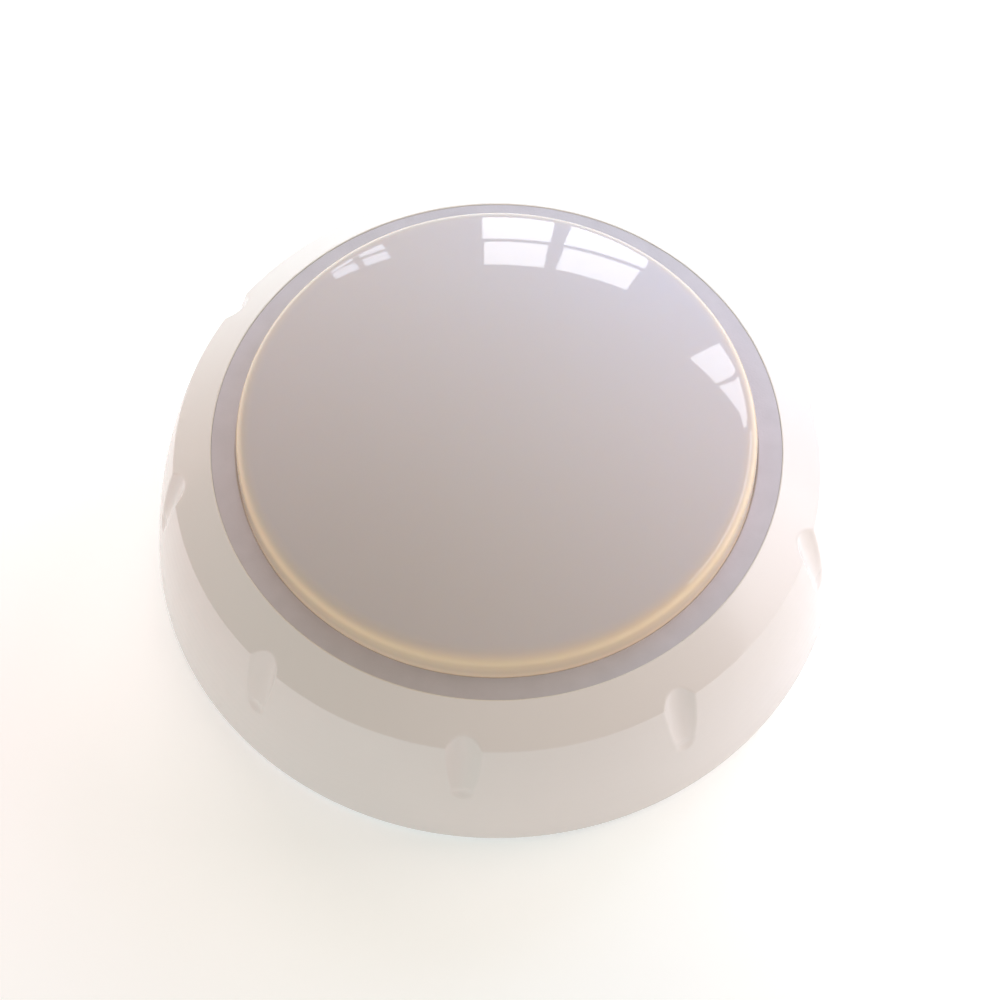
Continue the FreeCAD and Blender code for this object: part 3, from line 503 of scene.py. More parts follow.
# ---------------- finishes
def plain_finish(name, base, roughness, grain_size, grain_height, mottle=0.06, metallic=0.0,
                 mottle_size=12 * MM, **shader_values):
    """Moulded or rolled surface: faint colour mottling, uneven gloss and a fine grain in relief."""
    material = bpy.data.materials.new(name)
    material.use_nodes = True
    sheet = NodeSheet(material.node_tree)
    shader = material.node_tree.nodes["Principled BSDF"]
    place = sheet.place()
    patches = sheet.add("ShaderNodeTexNoise", {"Vector": place, "Scale": 1 / mottle_size, "Detail": 3.0})
    darker = tuple(channel * (1 - mottle) for channel in base) + (1.0,)
    lighter = tuple(min(1.0, channel * (1 + mottle)) for channel in base) + (1.0,)
    sheet.feed(shader.inputs["Base Color"], sheet.mix(patches.outputs["Fac"], darker, lighter))
    grain = sheet.add("ShaderNodeTexNoise", {"Vector": place, "Scale": 1 / grain_size, "Detail": 2.0})
    gloss = sheet.add("ShaderNodeMapRange", {"Value": patches.outputs["Fac"]})
    gloss.inputs["To Min"].default_value = roughness * 0.85
    gloss.inputs["To Max"].default_value = roughness * 1.2
    sheet.feed(shader.inputs["Roughness"], gloss.outputs[0])
    relief = sheet.add("ShaderNodeBump", {"Height": grain.outputs["Fac"], "Strength": 1.0,
                                          "Distance": grain_height})
    sheet.feed(shader.inputs["Normal"], relief.outputs[0])
    shader.inputs["Metallic"].default_value = metallic
    for socket_name, value in shader_values.items():
        shader.inputs[socket_name.replace("_", " ")].default_value = value
    return material


def opened(material):
    """A plain finish's nodes for more work: its sheet, its shader's inputs and its mottled colour."""
    shader = material.node_tree.nodes["Principled BSDF"]
    return NodeSheet(material.node_tree), shader.inputs, shader.inputs["Base Color"].links[0].from_socket


def dome_finish(size, side_low_z, side_top_z):
    """Milky plastic, cooler over the crown; the warm band down the side wall is painted reflection and glow,
    lighter at the foot.
    """
    material = plain_finish("milky_dome_plastic", size.crown_colour, 0.035, 2.5 * MM, 0.0003 * MM,
                            mottle=0.012, mottle_size=30 * MM, Coat_Weight=0.4, Coat_Roughness=0.01)
    sheet, inputs, mottled = opened(material)
    height = sheet.place(2)
    # painted reflection and glow: a warm band down the side wall, lighter towards the foot, blended into the
    # crown's colour above
    side = sheet.mix(sheet.ramp(height, side_low_z + 1.0 * MM, side_top_z + 1.9 * MM),
                     tuple(size.painted_band_foot_colour) + (1.0,), tuple(size.painted_band_top_colour) + (1.0,))
    crown_share = sheet.ramp(height, side_top_z + 0.6 * MM, side_top_z + 2.7 * MM)
    sheet.feed(inputs["Base Color"], sheet.mix(crown_share, side, mottled))
    inputs["Subsurface Weight"].default_value = 0.25
    inputs["Subsurface Radius"].default_value = (1.0, 0.62, 0.38)
    inputs["Subsurface Scale"].default_value = 2.0 * MM
    # painted glow: a warm emission just above the ring lightens the dome's foot, where the ring's shade falls
    inputs["Emission Color"].default_value = (1.0, 0.80, 0.60, 1.0)
    glow, painted_glow_height = 0.16, 1.2 * MM
    painted_glow_mask = sheet.ramp(height, side_low_z + painted_glow_height, side_low_z)
    sheet.feed(inputs["Emission Strength"], sheet.math("MULTIPLY", painted_glow_mask, glow))
    return material


def board_finish():
    """Green lacquer with the copper tracks showing through a little lighter."""
    material = plain_finish("board_lacquer", (0.03, 0.17, 0.06), 0.3, 0.6 * MM, 0.004 * MM, mottle=0.15)
    sheet, inputs, lacquer = opened(material)
    black, white, track_green = (0, 0, 0, 1), (1, 1, 1, 1), (0.06, 0.30, 0.10, 1.0)
    tracks = sheet.add("ShaderNodeTexBrick", {
        "Vector": sheet.place(), "Scale": 1 / (5 * MM), "Mortar Size": 0.06, "Color1": black,
        "Color2": black, "Mortar": white})
    sheet.feed(inputs["Base Color"], sheet.mix(tracks.outputs["Color"], lacquer, track_green))
    return material


def cell_finish(half_length):
    """Printed film jacket with bare metal at the ends."""
    material = plain_finish("cell_jacket", (0.05, 0.12, 0.32), 0.28, 0.8 * MM, 0.002 * MM, mottle=0.05)
    sheet, inputs, film = opened(material)
    bare_length, bare_metal = 1.2 * MM, (0.62, 0.62, 0.60, 1.0)
    at_end = sheet.math("GREATER_THAN", sheet.math("ABSOLUTE", sheet.place(0)), half_length - bare_length)
    sheet.feed(inputs["Base Color"], sheet.mix(at_end, film, bare_metal))
    sheet.feed(inputs["Metallic"], at_end)
    return material


def paint(material, *nodes):
    """Gives CAD pieces a finish."""
    for node in nodes:
        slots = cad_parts[node].data.materials
        slots.clear()
        slots.append(material)


# ---------------- case
def wall_radius(size, z, inset=0.0):
    """Radius of the side wall's outside, or of a surface inset from it; z is from the case's foot."""
    curve = size.wall_curve_radius - inset
    widest_height = 1.0 * MM
    curve_x = size.foot_radius - size.wall_curve_radius
    return curve_x + math.sqrt(curve ** 2 - (z - widest_height) ** 2)


def housing_outline(size, foot_z):
    """Closed half section of side wall, collar, ring seat and well wall."""
    wall_steps = 12
    ring_seat = node_bottom("trim_ring") - foot_z
    inner_shoulder = size.shoulder_height - 0.8 * MM
    inner_radius = wall_radius(size, inner_shoulder, size.wall_thickness)
    well_outside = size.well_radius + size.well_wall
    deck_bottom = size.deck_height - size.deck_thickness
    corners = [(wall_radius(size, 0.0), 0.0, 0.45 * MM)]
    for step in range(1, wall_steps):
        z = size.shoulder_height * step / wall_steps
        corners.append((wall_radius(size, z), z, 0))
    corners += [
        (wall_radius(size, size.shoulder_height), size.shoulder_height, size.edge_rounding),
        (size.collar_top_radius, size.collar_top_height, 0.09 * MM),
        (size.recess_radius, size.collar_top_height, 0.09 * MM),
        (size.recess_radius, ring_seat, 0.1 * MM),
        (size.well_radius, ring_seat, 0.15 * MM),
        (size.well_radius, deck_bottom, 0.2 * MM),
        (well_outside, deck_bottom, 0.2 * MM),
        (well_outside, inner_shoulder + inner_radius - well_outside, 0.4 * MM),
        (inner_radius, inner_shoulder, 0.8 * MM),
    ]
    for step in range(wall_steps - 1, 0, -2):
        z = inner_shoulder * step / wall_steps
        corners.append((wall_radius(size, z, size.wall_thickness), z, 0))
    corners.append((wall_radius(size, 0.0, size.wall_thickness), 0.0, 0.2 * MM))
    outline = guarded(rounded_outline(corners), 0.25 * MM)

    def on_scallops(r, z):
        lowest, highest = 5.8 * MM, 23.0 * MM
        if not lowest < z < highest:
            return False
        skin = 0.6 * MM
        collar_sum = size.shoulder_height + wall_radius(size, size.shoulder_height)
        if z < size.shoulder_height:
            return r > wall_radius(size, z) - skin
        return r + z > collar_sum - 2 * skin

    outline = refined(outline, 0.38 * MM, on_scallops)
    return [(r, z + foot_z) for r, z in outline]


def scallop_angles(size):
    """Column angles: close together across each scallop, wide apart between them."""
    half_scallop = math.radians(6.4)
    half_pitch = math.pi / size.scallop_count
    fine_steps, coarse_steps = 44, 8
    angles = []
    for number in range(size.scallop_count):
        middle = -QUARTER_TURN + number * 2 * half_pitch
        for start, end, steps in ((-half_pitch, -half_scallop, coarse_steps),
                                  (-half_scallop, half_scallop, fine_steps),
                                  (half_scallop, half_pitch, coarse_steps)):
            angles += [middle + start + (end - start) * step / steps for step in range(steps)]
    return angles


def upright_cylinder(bm, x, y, bottom_z, top_z, radius, sides=40, rounding=0.15 * MM):
    """A closed cylinder with a softened upper edge."""
    outline = [(0.0, top_z), (radius - rounding, top_z), (radius, top_z - rounding), (radius, bottom_z),
               (0.0, bottom_z)]
    add_lathe(bm, outline, even_angles(sides), (x, y))


def upright_tube(bm, x, y, bottom_z, top_z, inner_radius, outer_radius, sides=40):
    outline = [(inner_radius, bottom_z), (outer_radius, bottom_z), (outer_radius, top_z),
               (inner_radius, top_z)]
    add_lathe(bm, outline, even_angles(sides), (x, y))


def deck_piece(size, fixings, foot_z):
    """Deck under the dome with its openings for switch, lamps and springs."""
    top_z = foot_z + size.deck_height
    bottom_z = top_z - size.deck_thickness
    into_wall = 0.4 * MM
    rim = size.well_radius + into_wall
    deck = turned_piece("deck", [(0.0, top_z), (rim, top_z), (rim, bottom_z), (0.0, bottom_z)],
                        even_angles(128))
    bm = bmesh.new()
    over = 1 * MM
    for circle, angles, radius in (
            (size.lamp_circle, LAMP_ANGLES, size.lamp_hole),
            (fixings.spring_circle, SPRING_ANGLES, fixings.spring_cup_radius)):
        for x, y, _ in circle_places(circle, angles):
            upright_cylinder(bm, x, y, bottom_z - over, top_z + over, radius)
    opening = bmesh.ops.create_cube(bm, size=1.0)["verts"]
    bmesh.ops.scale(bm, vec=(size.switch_hole, size.switch_hole, 4 * MM), verts=opening)
    bmesh.ops.translate(bm, vec=(0, 0, (top_z + bottom_z) / 2), verts=opening)
    cutter = new_piece("deck_openings", bm)
    cut = deck.modifiers.new("Openings", "BOOLEAN")
    cut.operation = "DIFFERENCE"
    cut.solver = "EXACT"
    cut.object = cutter
    settle(deck)
    bpy.data.objects.remove(cutter)
    return deck


def add_housing_fittings(bm, size, fixings, foot_z):
    """Screw bosses, board posts and spring cups that hang from the deck."""
    into_deck, into_cup_wall = 0.3 * MM, 0.2 * MM
    screw_gap = 0.02 * MM
    boss_radius, post_radius = 3.5 * MM, 2.6 * MM
    pad_height = 5.0 * MM
    under_deck = foot_z + size.deck_height - size.deck_thickness + into_deck
    boss_bottom = node_bottom("base_plate") + pad_height
    for x, y, _ in circle_places(fixings.case_screw_circle, CASE_SCREW_ANGLES):
        upright_tube(bm, x, y, boss_bottom, under_deck, fixings.case_screw_shank + screw_gap, boss_radius)
    for x, y in BOARD_SCREW_PLACES:
        upright_tube(bm, x, y, node_top("circuit_board"), under_deck,
                     fixings.small_screw_shank + screw_gap, post_radius)
    wall = 1 * MM
    inner = fixings.spring_cup_radius
    cup_floor = foot_z + 15.0 * MM
    cup_top = foot_z + size.deck_height - into_cup_wall
    outline = [(0.0, cup_floor), (inner, cup_floor), (inner, cup_top), (inner + wall, cup_top),
               (inner + wall, cup_floor - wall), (0.0, cup_floor - wall)]
    for x, y, _ in circle_places(fixings.spring_circle, SPRING_ANGLES):
        add_lathe(bm, outline, even_angles(40), (x, y))


class BUZZER_OT_housing(bpy.types.Operator):
    """Make the case's outer moulding with its finger scallops"""
    bl_idname = "buzzer.housing"
    bl_label = "Housing"

    def execute(self, context):
        size, fixings = context.scene.buzzer_housing, context.scene.buzzer_fixings
        foot_z = node_bottom("housing")
        plastic = plain_finish("glossy_cream_plastic", size.plastic, 0.2, 1.4 * MM, 0.0012 * MM,
                               mottle=0.02, mottle_size=22 * MM, Coat_Weight=0.35, Coat_Roughness=0.06)
        shell = turned_piece("housing_shell", housing_outline(size, foot_z), scallop_angles(size))
        grow(shell, scallop_tree(), {
            "Count": size.scallop_count, "Cutter radius": size.scallop_radius, "Lean": size.scallop_lean,
            "Reach radius": size.scallop_reach_radius, "Reach height": foot_z + size.scallop_reach_height,
            "Nose height": foot_z + size.scallop_nose_height,
            "Softness": size.scallop_softness, "Material": plastic})
        deck = deck_piece(size, fixings, foot_z)
        bm = bmesh.new()
        bm.from_mesh(deck.data)
        add_housing_fittings(bm, size, fixings, foot_z)
        bmesh.ops.recalc_face_normals(bm, faces=bm.faces)
        bm.from_mesh(shell.data)
        bm.to_mesh(shell.data)
        bm.free()
        bpy.data.objects.remove(deck)
        for polygon in shell.data.polygons:
            polygon.material_index = 0
        shell.data.shade_smooth()
        shell.data.set_sharp_from_angle(angle=math.radians(50))
        hand_in(shell, "case", "case_plastic", "housing")
        return {"FINISHED"}


class BUZZER_OT_trim_ring(bpy.types.Operator):
    """Make the flat textured ring round the dome"""
    bl_idname = "buzzer.trim_ring"
    bl_label = "Trim ring"

    def execute(self, context):
        size = context.scene.buzzer_ring
        outer = context.scene.buzzer_housing.recess_radius - size.seam
        inner = node_radius("dome_cap") + size.gap
        bottom_z, top_z = node_bottom("trim_ring"), node_top("trim_ring")
        soft = 0.05 * MM
        corners = [
            (inner, bottom_z, soft),
            (outer, bottom_z, soft),
            (outer, top_z - size.fall, soft),
            (inner + size.inner_break, top_z, soft),
            (inner, top_z - size.inner_break, soft),
        ]
        outline = guarded(rounded_outline(corners, steps=3), 0.12 * MM)
        plastic = plain_finish("textured_lilac_plastic", size.plastic, 0.40, 0.28 * MM, 0.02 * MM,
                               mottle=0.08, mottle_size=3 * MM)
        ring = turned_piece("trim_ring_detailed", outline, even_angles(360), plastic)
        hand_in(ring, "case", "trim_ring", "trim_ring")
        return {"FINISHED"}


# ---------------- dome
def dome_skin(size, inset, radius, foot_z, top_z):
    """Half section of the dome's outside, or of a surface inset from it, from the axis to the foot."""
    side = radius - inset
    edge = size.edge_radius - inset
    crown = size.crown_radius - inset
    crown_centre_z = top_z - size.crown_radius
    rise = math.sqrt((crown - edge) ** 2 - (side - edge) ** 2)
    lean = math.atan2(side - edge, rise)
    points = arc_points((0.0, crown_centre_z), crown, 0.0, lean, 40)
    points += arc_points((side - edge, crown_centre_z + rise), edge, lean, QUARTER_TURN, 10)[1:]
    points.append((side, points[-1][1] - 0.5 * MM))
    points.append((side, foot_z + 0.3 * MM))
    return points + [(side - 0.05 * MM if inset == 0 else side, foot_z)]


class BUZZER_OT_dome(bpy.types.Operator):
    """Make the milky press dome"""
    bl_idname = "buzzer.dome"
    bl_label = "Press dome"

    def execute(self, context):
        size = context.scene.buzzer_dome
        radius = node_radius("dome_cap")
        foot_z, top_z = node_bottom("dome_cap"), node_top("dome_cap")
        outside = dome_skin(size, 0.0, radius, foot_z, top_z)
        inside = dome_skin(size, size.wall, radius, foot_z, top_z)
        bm = bmesh.new()
        add_lathe(bm, outside + inside[::-1], even_angles(320))
        crown_centre_z = top_z - size.crown_radius
        inner_crown = size.crown_radius - size.wall
        joint = 0.3 * MM
        screw_gap, post_radius, any_height = 0.02 * MM, 2.7 * MM, 1 * MM
        fixings = context.scene.buzzer_fixings
        for x, y, _ in circle_places(fixings.dome_screw_circle, DOME_SCREW_ANGLES):
            first_vertex = len(bm.verts)
            upright_tube(bm, x, y, foot_z, foot_z + any_height, fixings.small_screw_shank + screw_gap,
                         post_radius)
            bm.verts.ensure_lookup_table()
            for vertex in bm.verts[first_vertex:]:
                if vertex.co.z > foot_z + joint:
                    spread = vertex.co.xy.length
                    vertex.co.z = crown_centre_z + math.sqrt(inner_crown ** 2 - spread ** 2) + joint
        rise_square = (size.crown_radius - size.edge_radius) ** 2 - (radius - size.edge_radius) ** 2
        side_top_z = crown_centre_z + math.sqrt(rise_square)
        material = dome_finish(size, node_top("trim_ring"), side_top_z)
        dome = new_piece("press_dome", bm, material)
        hand_in(dome, "dome", "dome_plastic", "dome_cap")
        return {"FINISHED"}


# ---------------- screws, feet and springs
def screw_template(head_radius, head_height, shank_radius, shank_length):
    """Pan-head cross-recess screw, head down, with its shank from z = 0 upwards."""
    crown, recess = head_height * 0.45, head_height * 0.55
    flat = head_radius - crown
    top_rows, edge_break = 14, 0.02 * MM
    outline = [(flat * row / top_rows, -head_height) for row in range(top_rows)]
    outline += arc_points((flat, crown - head_height), crown, math.pi, QUARTER_TURN, 6)
    outline += [(head_radius, -edge_break), (head_radius - edge_break, 0.0), (shank_radius, 0.0)]
    pitch, thread_depth, tip_radius = shank_radius * 0.8, shank_radius * 0.16, shank_radius * 0.7
    thread_start, threaded_length = shank_length * 0.06, shank_length * 0.9
    rows_per_turn = 8
    rows = int(threaded_length / pitch * rows_per_turn)
    outline += [(shank_radius, thread_start + pitch * row / rows_per_turn) for row in range(rows)]
    outline += [(tip_radius, shank_length), (0.0, shank_length)]
    bm = bmesh.new()
    add_lathe(bm, outline, even_angles(72))
    arm, width = head_radius * 0.62, head_radius * 0.17
    soft = head_radius * 0.05
    shallower_at_ends = 0.35
    for vertex in bm.verts:
        x, y, z = abs(vertex.co.x), abs(vertex.co.y), vertex.co.z
        if z <= -head_height + 1e-7:
            narrow, wide = min(x, y), max(x, y)
            inside = min((width - narrow) / soft, (arm - wide) / soft)
            depth = max(0.0, min(1.0, 0.5 + inside / 2))
            vertex.co.z += recess * depth * (1 - shallower_at_ends * wide / arm)
        elif thread_start < z < shank_length - 1e-6:
            turn = math.atan2(vertex.co.y, vertex.co.x) / FULL_TURN
            phase = (z / pitch - turn) % 1.0
            root = thread_depth * abs(2 * phase - 1)
            share = 1 - root / shank_radius
            vertex.co.x *= share
            vertex.co.y *= share
    template = new_piece("screw_template", bm)
    template.data.set_sharp_from_angle(angle=math.radians(40))
    return template


class BUZZER_OT_screws(bpy.types.Operator):
    """Make every screw of the case, dome, board, loudspeaker and battery door"""
    bl_idname = "buzzer.screws"
    bl_label = "Screws"

    def execute(self, context):
        size = context.scene.buzzer_fixings
        steel = plain_finish("zinc_plated_steel", (0.60, 0.60, 0.59), 0.3, 0.4 * MM, 0.003 * MM,
                             mottle=0.1, metallic=1.0, mottle_size=2 * MM)
        upwards, downwards = (0.0, 0.0, 0.0), (math.pi, 0.0, 0.0)
        case_head, small_head, door_head, speaker_head = 1.9 * MM, 1.3 * MM, 0.8 * MM, 1.2 * MM
        case_places = circle_places(size.case_screw_circle, CASE_SCREW_ANGLES,
                                    node_bottom("case_screws") + case_head)
        dome_places = circle_places(size.dome_screw_circle, DOME_SCREW_ANGLES,
                                    node_bottom("dome_screws") + small_head)
        board_places = [place + (node_bottom("board_screws") + small_head,) for place in BOARD_SCREW_PLACES]
        door_places = [node_middle("battery_door_screw")
                       + (node_bottom("battery_door_screw") + door_head,)]
        speaker_circle = 20.6 * MM
        speaker_y = node_middle("speaker_basket")[1]
        speaker_places = [(x, y + speaker_y, z) for x, y, z in circle_places(
            speaker_circle, SPEAKER_SCREW_ANGLES, node_top("speaker_screws") - speaker_head)]
        small = (size.small_screw_head, small_head, size.small_screw_shank)
        # piece, CAD node, body, places, turn, (head radius, head height, shank radius, shank length)
        sets = (
            ("case_screw_set", "case_screws", "case", case_places, upwards,
             (size.case_screw_head, case_head, size.case_screw_shank, 9.0 * MM)),
            ("dome_screw_set", "dome_screws", "dome", dome_places, upwards, small + (6.5 * MM,)),
            ("board_screw_set", "board_screws", "case", board_places, upwards, small + (3.8 * MM,)),
            ("speaker_screw_set", "speaker_screws", "case", speaker_places, downwards,
             (3.2 * MM, speaker_head, size.small_screw_shank, 2.7 * MM)),
            ("door_screw_detailed", "battery_door_screw", "door", door_places, upwards,
             (2.3 * MM, door_head, 1.15 * MM, 5.5 * MM)),
        )
        for name, node, body, places, turn, sizes in sets:
            screws = copy_on_points(name, screw_template(*sizes), places, steel, turn)
            hand_in(screws, body, "screw_steel", node)
        return {"FINISHED"}


class BUZZER_OT_feet(bpy.types.Operator):
    """Make the rubber feet"""
    bl_idname = "buzzer.feet"
    bl_label = "Rubber feet"

    def execute(self, context):
        size = context.scene.buzzer_fixings
        top_z = node_top("rubber_feet")
        radius, rounding, dish = size.foot_radius, 0.4 * MM, 0.12 * MM
        outline = [(0.0, dish), (radius * 0.55, dish), (radius * 0.68, 0.0), (radius - rounding, 0.0)]
        outline += arc_points((radius - rounding, rounding), rounding, math.pi, QUARTER_TURN, 6)[1:]
        top_break = 0.1 * MM
        outline += [(radius, top_z - top_break), (radius - top_break, top_z), (0.0, top_z)]
        template = turned_piece("foot_template", outline, even_angles(64))
        rubber = plain_finish("grey_rubber", (0.20, 0.20, 0.20), 0.75, 0.15 * MM, 0.01 * MM, mottle=0.15,
                              mottle_size=1.5 * MM)
        places = circle_places(size.foot_circle, RUBBER_FOOT_ANGLES)
        feet = copy_on_points("rubber_foot_set", template, places, rubber)
        hand_in(feet, "case", "rubber", "rubber_feet")
        return {"FINISHED"}


class BUZZER_OT_springs(bpy.types.Operator):
    """Make the return springs and give the battery springs their finish"""
    bl_idname = "buzzer.springs"
    bl_label = "Springs"

    def execute(self, context):
        size = context.scene.buzzer_fixings
        wire = plain_finish("spring_wire", (0.68, 0.68, 0.68), 0.22, 0.2 * MM, 0.002 * MM, mottle=0.06,
                            metallic=1.0, mottle_size=1 * MM)
        wire_radius = 0.3 * MM
        for number, degrees in enumerate(SPRING_ANGLES, start=1):
            node = f"return_spring_{number}"
            bottom_z, top_z = node_bottom(node), node_top(node)
            place = circle_places(size.spring_circle, (degrees,), bottom_z + wire_radius)[0]
            spring = points_piece(f"return_coil_{number}", [place])
            grow(spring, coil_tree(), {
                "Turns": float(size.spring_turns), "Coil radius": 3.0 * MM,
                "Length": top_z - bottom_z - 2 * wire_radius, "Wire radius": wire_radius,
                "Turn": (0.0, 0.0, 0.0), "Material": wire})
            hand_in(spring, "case", "spring_steel", node)
            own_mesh(spring)
        paint(wire, "battery_springs")
        return {"FINISHED"}


# ---------------- finishes of the CAD pieces
# name, colour, roughness, grain size and height in mm, mottle size in mm, mottle, other values, nodes
INNER_FINISHES = (
    ("white_plastic", (0.78, 0.77, 0.75), 0.4, 0.5, 0.004, 12, 0.03, {}, ("button_carrier",)),
    ("black_plastic", (0.02, 0.02, 0.022), 0.4, 0.2, 0.006, 2, 0.2, {},
     ("switch_body", "switch_plunger", "power_switch_body", "power_switch_knob", "sound_chip", "resistors")),
    ("nickel_strip", (0.66, 0.63, 0.57), 0.2, 0.3, 0.002, 2, 0.08, {"metallic": 1.0}, ("battery_contacts",)),
    ("lead_insulation", (0.45, 0.03, 0.03), 0.4, 0.5, 0.004, 12, 0.08, {},
     ("battery_leads", "speaker_leads", "power_leads")),
    ("pressed_steel", (0.50, 0.50, 0.49), 0.35, 0.5, 0.004, 3, 0.12, {"metallic": 1.0}, ("speaker_basket",)),
    ("bare_ferrite", (0.045, 0.045, 0.05), 0.6, 0.12, 0.012, 1, 0.25, {}, ("speaker_magnet",)),
    ("speaker_paper", (0.03, 0.03, 0.03), 0.8, 0.35, 0.02, 1, 0.3, {}, ("speaker_cone",)),
    ("gasket_foam", (0.06, 0.06, 0.06), 0.9, 0.25, 0.05, 0.6, 0.3, {}, ("speaker_gasket",)),
    ("capacitor_sleeve", (0.03, 0.035, 0.09), 0.3, 0.6, 0.003, 12, 0.1, {}, ("capacitor",)),
    ("lamp_epoxy", (0.85, 0.85, 0.82), 0.08, 1.0, 0.002, 12, 0.02,
     {"Transmission_Weight": 0.7, "IOR": 1.5}, ("leds",)),
)


class BUZZER_OT_inner_finishes(bpy.types.Operator):
    """Give the base, the battery door and the inner pieces their finishes"""
    bl_idname = "buzzer.inner_finishes"
    bl_label = "Base and inner finishes"

    def execute(self, context):
        cream = context.scene.buzzer_housing.plastic
        base = plain_finish("textured_cream_plastic", cream, 0.45, 0.22 * MM, 0.012 * MM, mottle=0.03,
                            mottle_size=15 * MM)
        paint(base, "base_plate", "battery_door")
        for name, tone, roughness, grain, relief, patch, mottle, others, nodes in INNER_FINISHES:
            paint(plain_finish(name, tone, roughness, grain * MM, relief * MM, mottle=mottle,
                               mottle_size=patch * MM, **others), *nodes)
        low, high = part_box("battery_front")
        paint(cell_finish((high.x - low.x) / 2), "battery_front", "battery_rear")
        paint(board_finish(), "circuit_board")
        return {"FINISHED"}


# ---------------- stage
# All azimuths are in degrees from the back towards the right, as the camera sees it.
# Soft glows that make up the room light: azimuth, elevation, narrowness, colour.
ROOM_GLOWS = (
    (0, 10, 3, (0.54, 0.37, 0.25)),
    (20, 15, 12, (0.15, 0.40, 0.95)),
    (-90, 10, 3, (0.05, 0.43, 0.46)),
    (0, 90, 3, (0.75, 0.70, 0.50)),
    (180, 10, 3, (1.00, 0.78, 0.82)),
)

# Softboxes near the buzzer, which light it but don't show in its gloss: name, azimuth, elevation, colour.
NEAR_SOFTBOXES = (
    ("back_right_softbox", 45, 40, (0.42, 0.56, 0.83)),
    ("back_left_softbox", -30, 40, (0.71, 0.73, 0.79)),
    ("right_softbox", 90, 35, (0.98, 0.84, 0.85)),
    ("left_softbox", -90, 35, (0.28, 0.0, 0.0)),
)
SOFTBOX_RADIANCE = 4.0

# Far windows that show in the gloss: name, columns and rows of panes in degrees, radiance, colour.
WINDOWS = (
    ("back_window", ((-1.8, 7.0), (9.0, 20.0)), ((8.5, 17.6), (18.6, 25.5)), 4.4, (0.95, 0.97, 1.0)),
    ("left_window", ((-22.5, -19.0), (-18.0, -14.5)), ((13.3, 15.6), (16.4, 18.8)), 3.4,
     (0.78, 0.85, 1.0)),
    ("right_window", ((36.5, 43.0), (44.0, 54.0)), ((24.0, 32.5),), 4.5, (0.92, 0.95, 1.0)),
)


def direction(azimuth, elevation):
    """Unit vector; azimuth is from +Y towards +X, both in degrees."""
    a, e = math.radians(azimuth), math.radians(elevation)
    return Vector((math.sin(a) * math.cos(e), math.cos(a) * math.cos(e), math.sin(e)))


def area_light(name, azimuth, elevation, distance, width_degrees, height_degrees, radiance, tint):
    """A rectangular light that covers the given angles as seen from the buzzer."""
    width = 2 * distance * math.tan(math.radians(width_degrees) / 2)
    height = 2 * distance * math.tan(math.radians(height_degrees) / 2)
    data = bpy.data.lights.new(name, "AREA")
    data.shape = "RECTANGLE"
    data.size, data.size_y = width, height
    data.energy = radiance * math.pi * width * height
    data.color = tint
    light = linked(name, data)
    towards = direction(azimuth, elevation)
    light.location = towards * distance
    light.visible_camera = False
    light.rotation_mode = "QUATERNION"
    light.rotation_quaternion = towards.to_track_quat("Z", "Y")
    return light


def window(name, columns, rows, turned, distance, radiance, tint):
    """A paned window: one light for each pane; columns and rows are pairs of angles in degrees."""
    for column, (left, right) in enumerate(columns):
        for row, (low, high) in enumerate(rows):
            middle = (low + high) / 2
            area_light(f"{name}_{column}_{row}", (left + right) / 2 - turned, middle, distance,
                       (right - left) * math.cos(math.radians(middle)), high - low, radiance, tint)


def sky(scene, turned):
    """Room light as a sum of soft glows, brighter and cooler behind the buzzer."""
    world = bpy.data.worlds.new("soft_room")
    world.use_nodes = True
    scene.world = world
    sheet = NodeSheet(world.node_tree)
    background = world.node_tree.nodes["Background"]
    looking = sheet.add("ShaderNodeTexCoord").outputs["Generated"]
    total = None
    for azimuth, elevation, narrowness, tint in ROOM_GLOWS:
        towards = direction(azimuth - turned, elevation)
        facing = sheet.add("ShaderNodeVectorMath", {0: looking, 1: towards}, operation="DOT_PRODUCT")
        share = sheet.math("POWER", sheet.math("MAXIMUM", facing.outputs["Value"], 0.0), float(narrowness))
        glow = sheet.add("ShaderNodeVectorMath", {0: tint, "Scale": share}, operation="SCALE").outputs[0]
        if total is not None:
            glow = sheet.add("ShaderNodeVectorMath", {0: total, 1: glow}, operation="ADD").outputs[0]
        total = glow
    sheet.feed(background.inputs["Color"], total)


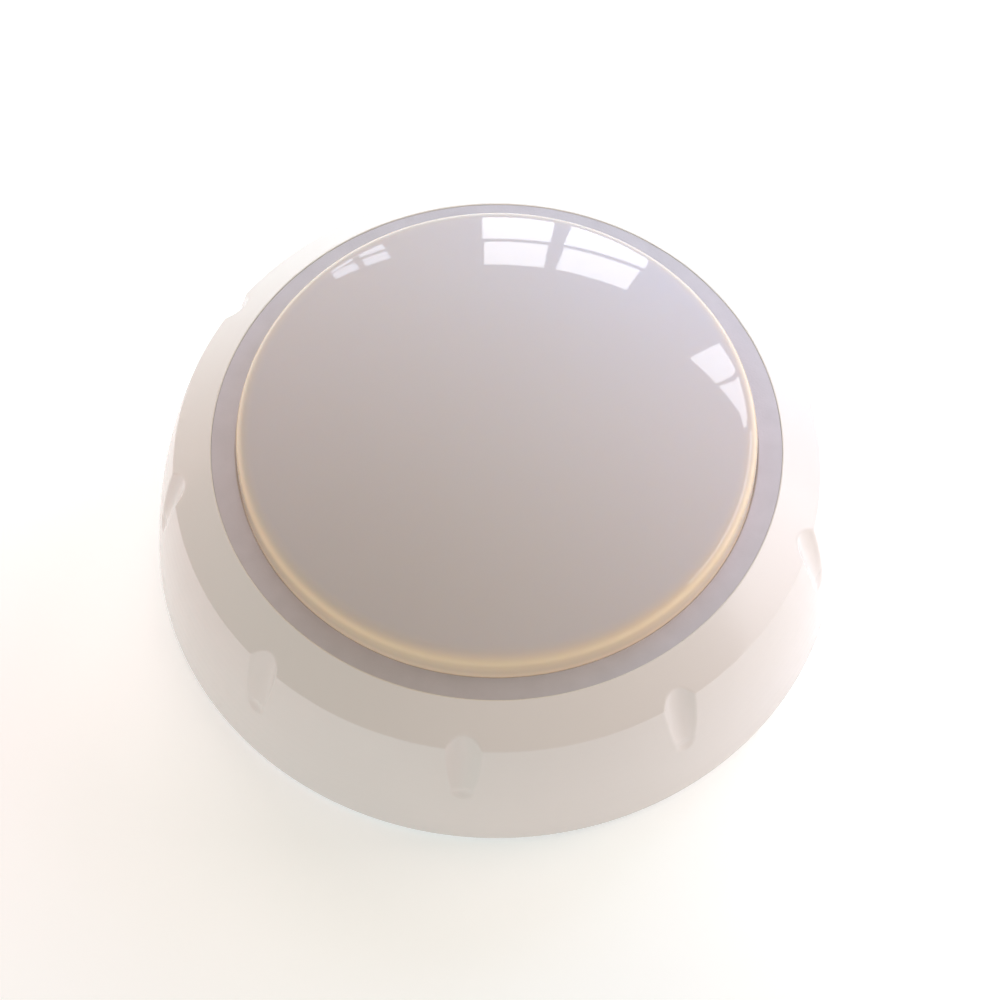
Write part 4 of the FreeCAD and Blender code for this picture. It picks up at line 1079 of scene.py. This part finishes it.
class BUZZER_OT_stage(bpy.types.Operator):
    """Make the camera, the floor and the lights"""
    bl_idname = "buzzer.stage"
    bl_label = "Stage"

    def execute(self, context):
        scene = context.scene
        stage = scene.buzzer_stage
        scene.view_settings.view_transform = "Standard"
        back = Vector((math.sin(stage.azimuth) * math.cos(stage.elevation),
                       -math.cos(stage.azimuth) * math.cos(stage.elevation), math.sin(stage.elevation)))
        turn = back.to_track_quat("Z", "Y")
        aim = Vector((0, 0, node_bottom("housing")))
        aim += turn @ Vector((stage.aim_right, stage.aim_up, 0))
        data = bpy.data.cameras.new("camera")
        data.lens = stage.lens
        data.clip_start, data.clip_end = 0.1, 20.0
        camera = linked("camera", data)
        camera.rotation_mode = "QUATERNION"
        camera.rotation_quaternion = turn
        camera.location = aim + back * stage.distance
        scene.camera = camera

        edge = stage.floor_edge
        mesh = bpy.data.meshes.new("floor")
        mesh.from_pydata([(-edge, -edge, 0), (edge, -edge, 0), (edge, edge, 0), (-edge, edge, 0)], [],
                         [(0, 1, 2, 3)])
        floor = linked("floor", mesh)
        floor_paint = plain_finish("pale_floor", stage.floor_colour, 0.8, 2 * MM, 0.01 * MM,
                                   mottle=0.01, mottle_size=60 * MM)
        shader = floor_paint.node_tree.nodes["Principled BSDF"]
        shader.inputs["Emission Color"].default_value = tuple(stage.floor_glow) + (1.0,)
        shader.inputs["Emission Strength"].default_value = 1.0
        mesh.materials.append(floor_paint)

        far = stage.light_distance
        turned = math.degrees(stage.azimuth)
        for name, columns, rows, radiance, tint in WINDOWS:
            window(name, columns, rows, turned, far, radiance, tint)
        strip = area_light("right_strip", 85.0 - turned, 9.0, far, 50.0, 16.0, 2.0, (1.0, 0.98, 1.0))
        strip.visible_diffuse = False
        for name, azimuth, elevation, tint in NEAR_SOFTBOXES:
            softbox = area_light(name, azimuth - turned, elevation, stage.softbox_distance,
                                 stage.softbox_angle, stage.softbox_angle, SOFTBOX_RADIANCE, tint)
            softbox.visible_glossy = False
        sky(scene, turned)
        return {"FINISHED"}


# ---------------- add-on
OPERATORS = (
    BUZZER_OT_housing,
    BUZZER_OT_trim_ring,
    BUZZER_OT_dome,
    BUZZER_OT_screws,
    BUZZER_OT_feet,
    BUZZER_OT_springs,
    BUZZER_OT_inner_finishes,
    BUZZER_OT_stage,
)


class BUZZER_PT_panel(bpy.types.Panel):
    """Lists the steps that make the buzzer"""
    bl_idname = "BUZZER_PT_panel"
    bl_label = "Quiz buzzer"
    bl_space_type = "VIEW_3D"
    bl_region_type = "UI"
    bl_category = "Quiz buzzer"

    def draw(self, context):
        for operator in OPERATORS:
            self.layout.operator(operator.bl_idname)


CLASSES = tuple(SETTINGS.values()) + OPERATORS + (BUZZER_PT_panel,)


def register():
    for cls in CLASSES:
        bpy.utils.register_class(cls)
    for name, group in SETTINGS.items():
        setattr(bpy.types.Scene, name, PointerProperty(type=group))


def unregister():
    for name in SETTINGS:
        delattr(bpy.types.Scene, name)
    for cls in reversed(CLASSES):
        bpy.utils.unregister_class(cls)


def main():
    register()
    bpy.ops.buzzer.housing()
    bpy.ops.buzzer.trim_ring()
    bpy.ops.buzzer.dome()
    bpy.ops.buzzer.screws()
    bpy.ops.buzzer.feet()
    bpy.ops.buzzer.springs()
    bpy.ops.buzzer.inner_finishes()
    bpy.ops.buzzer.stage()


if __name__ == "__main__":
    main()
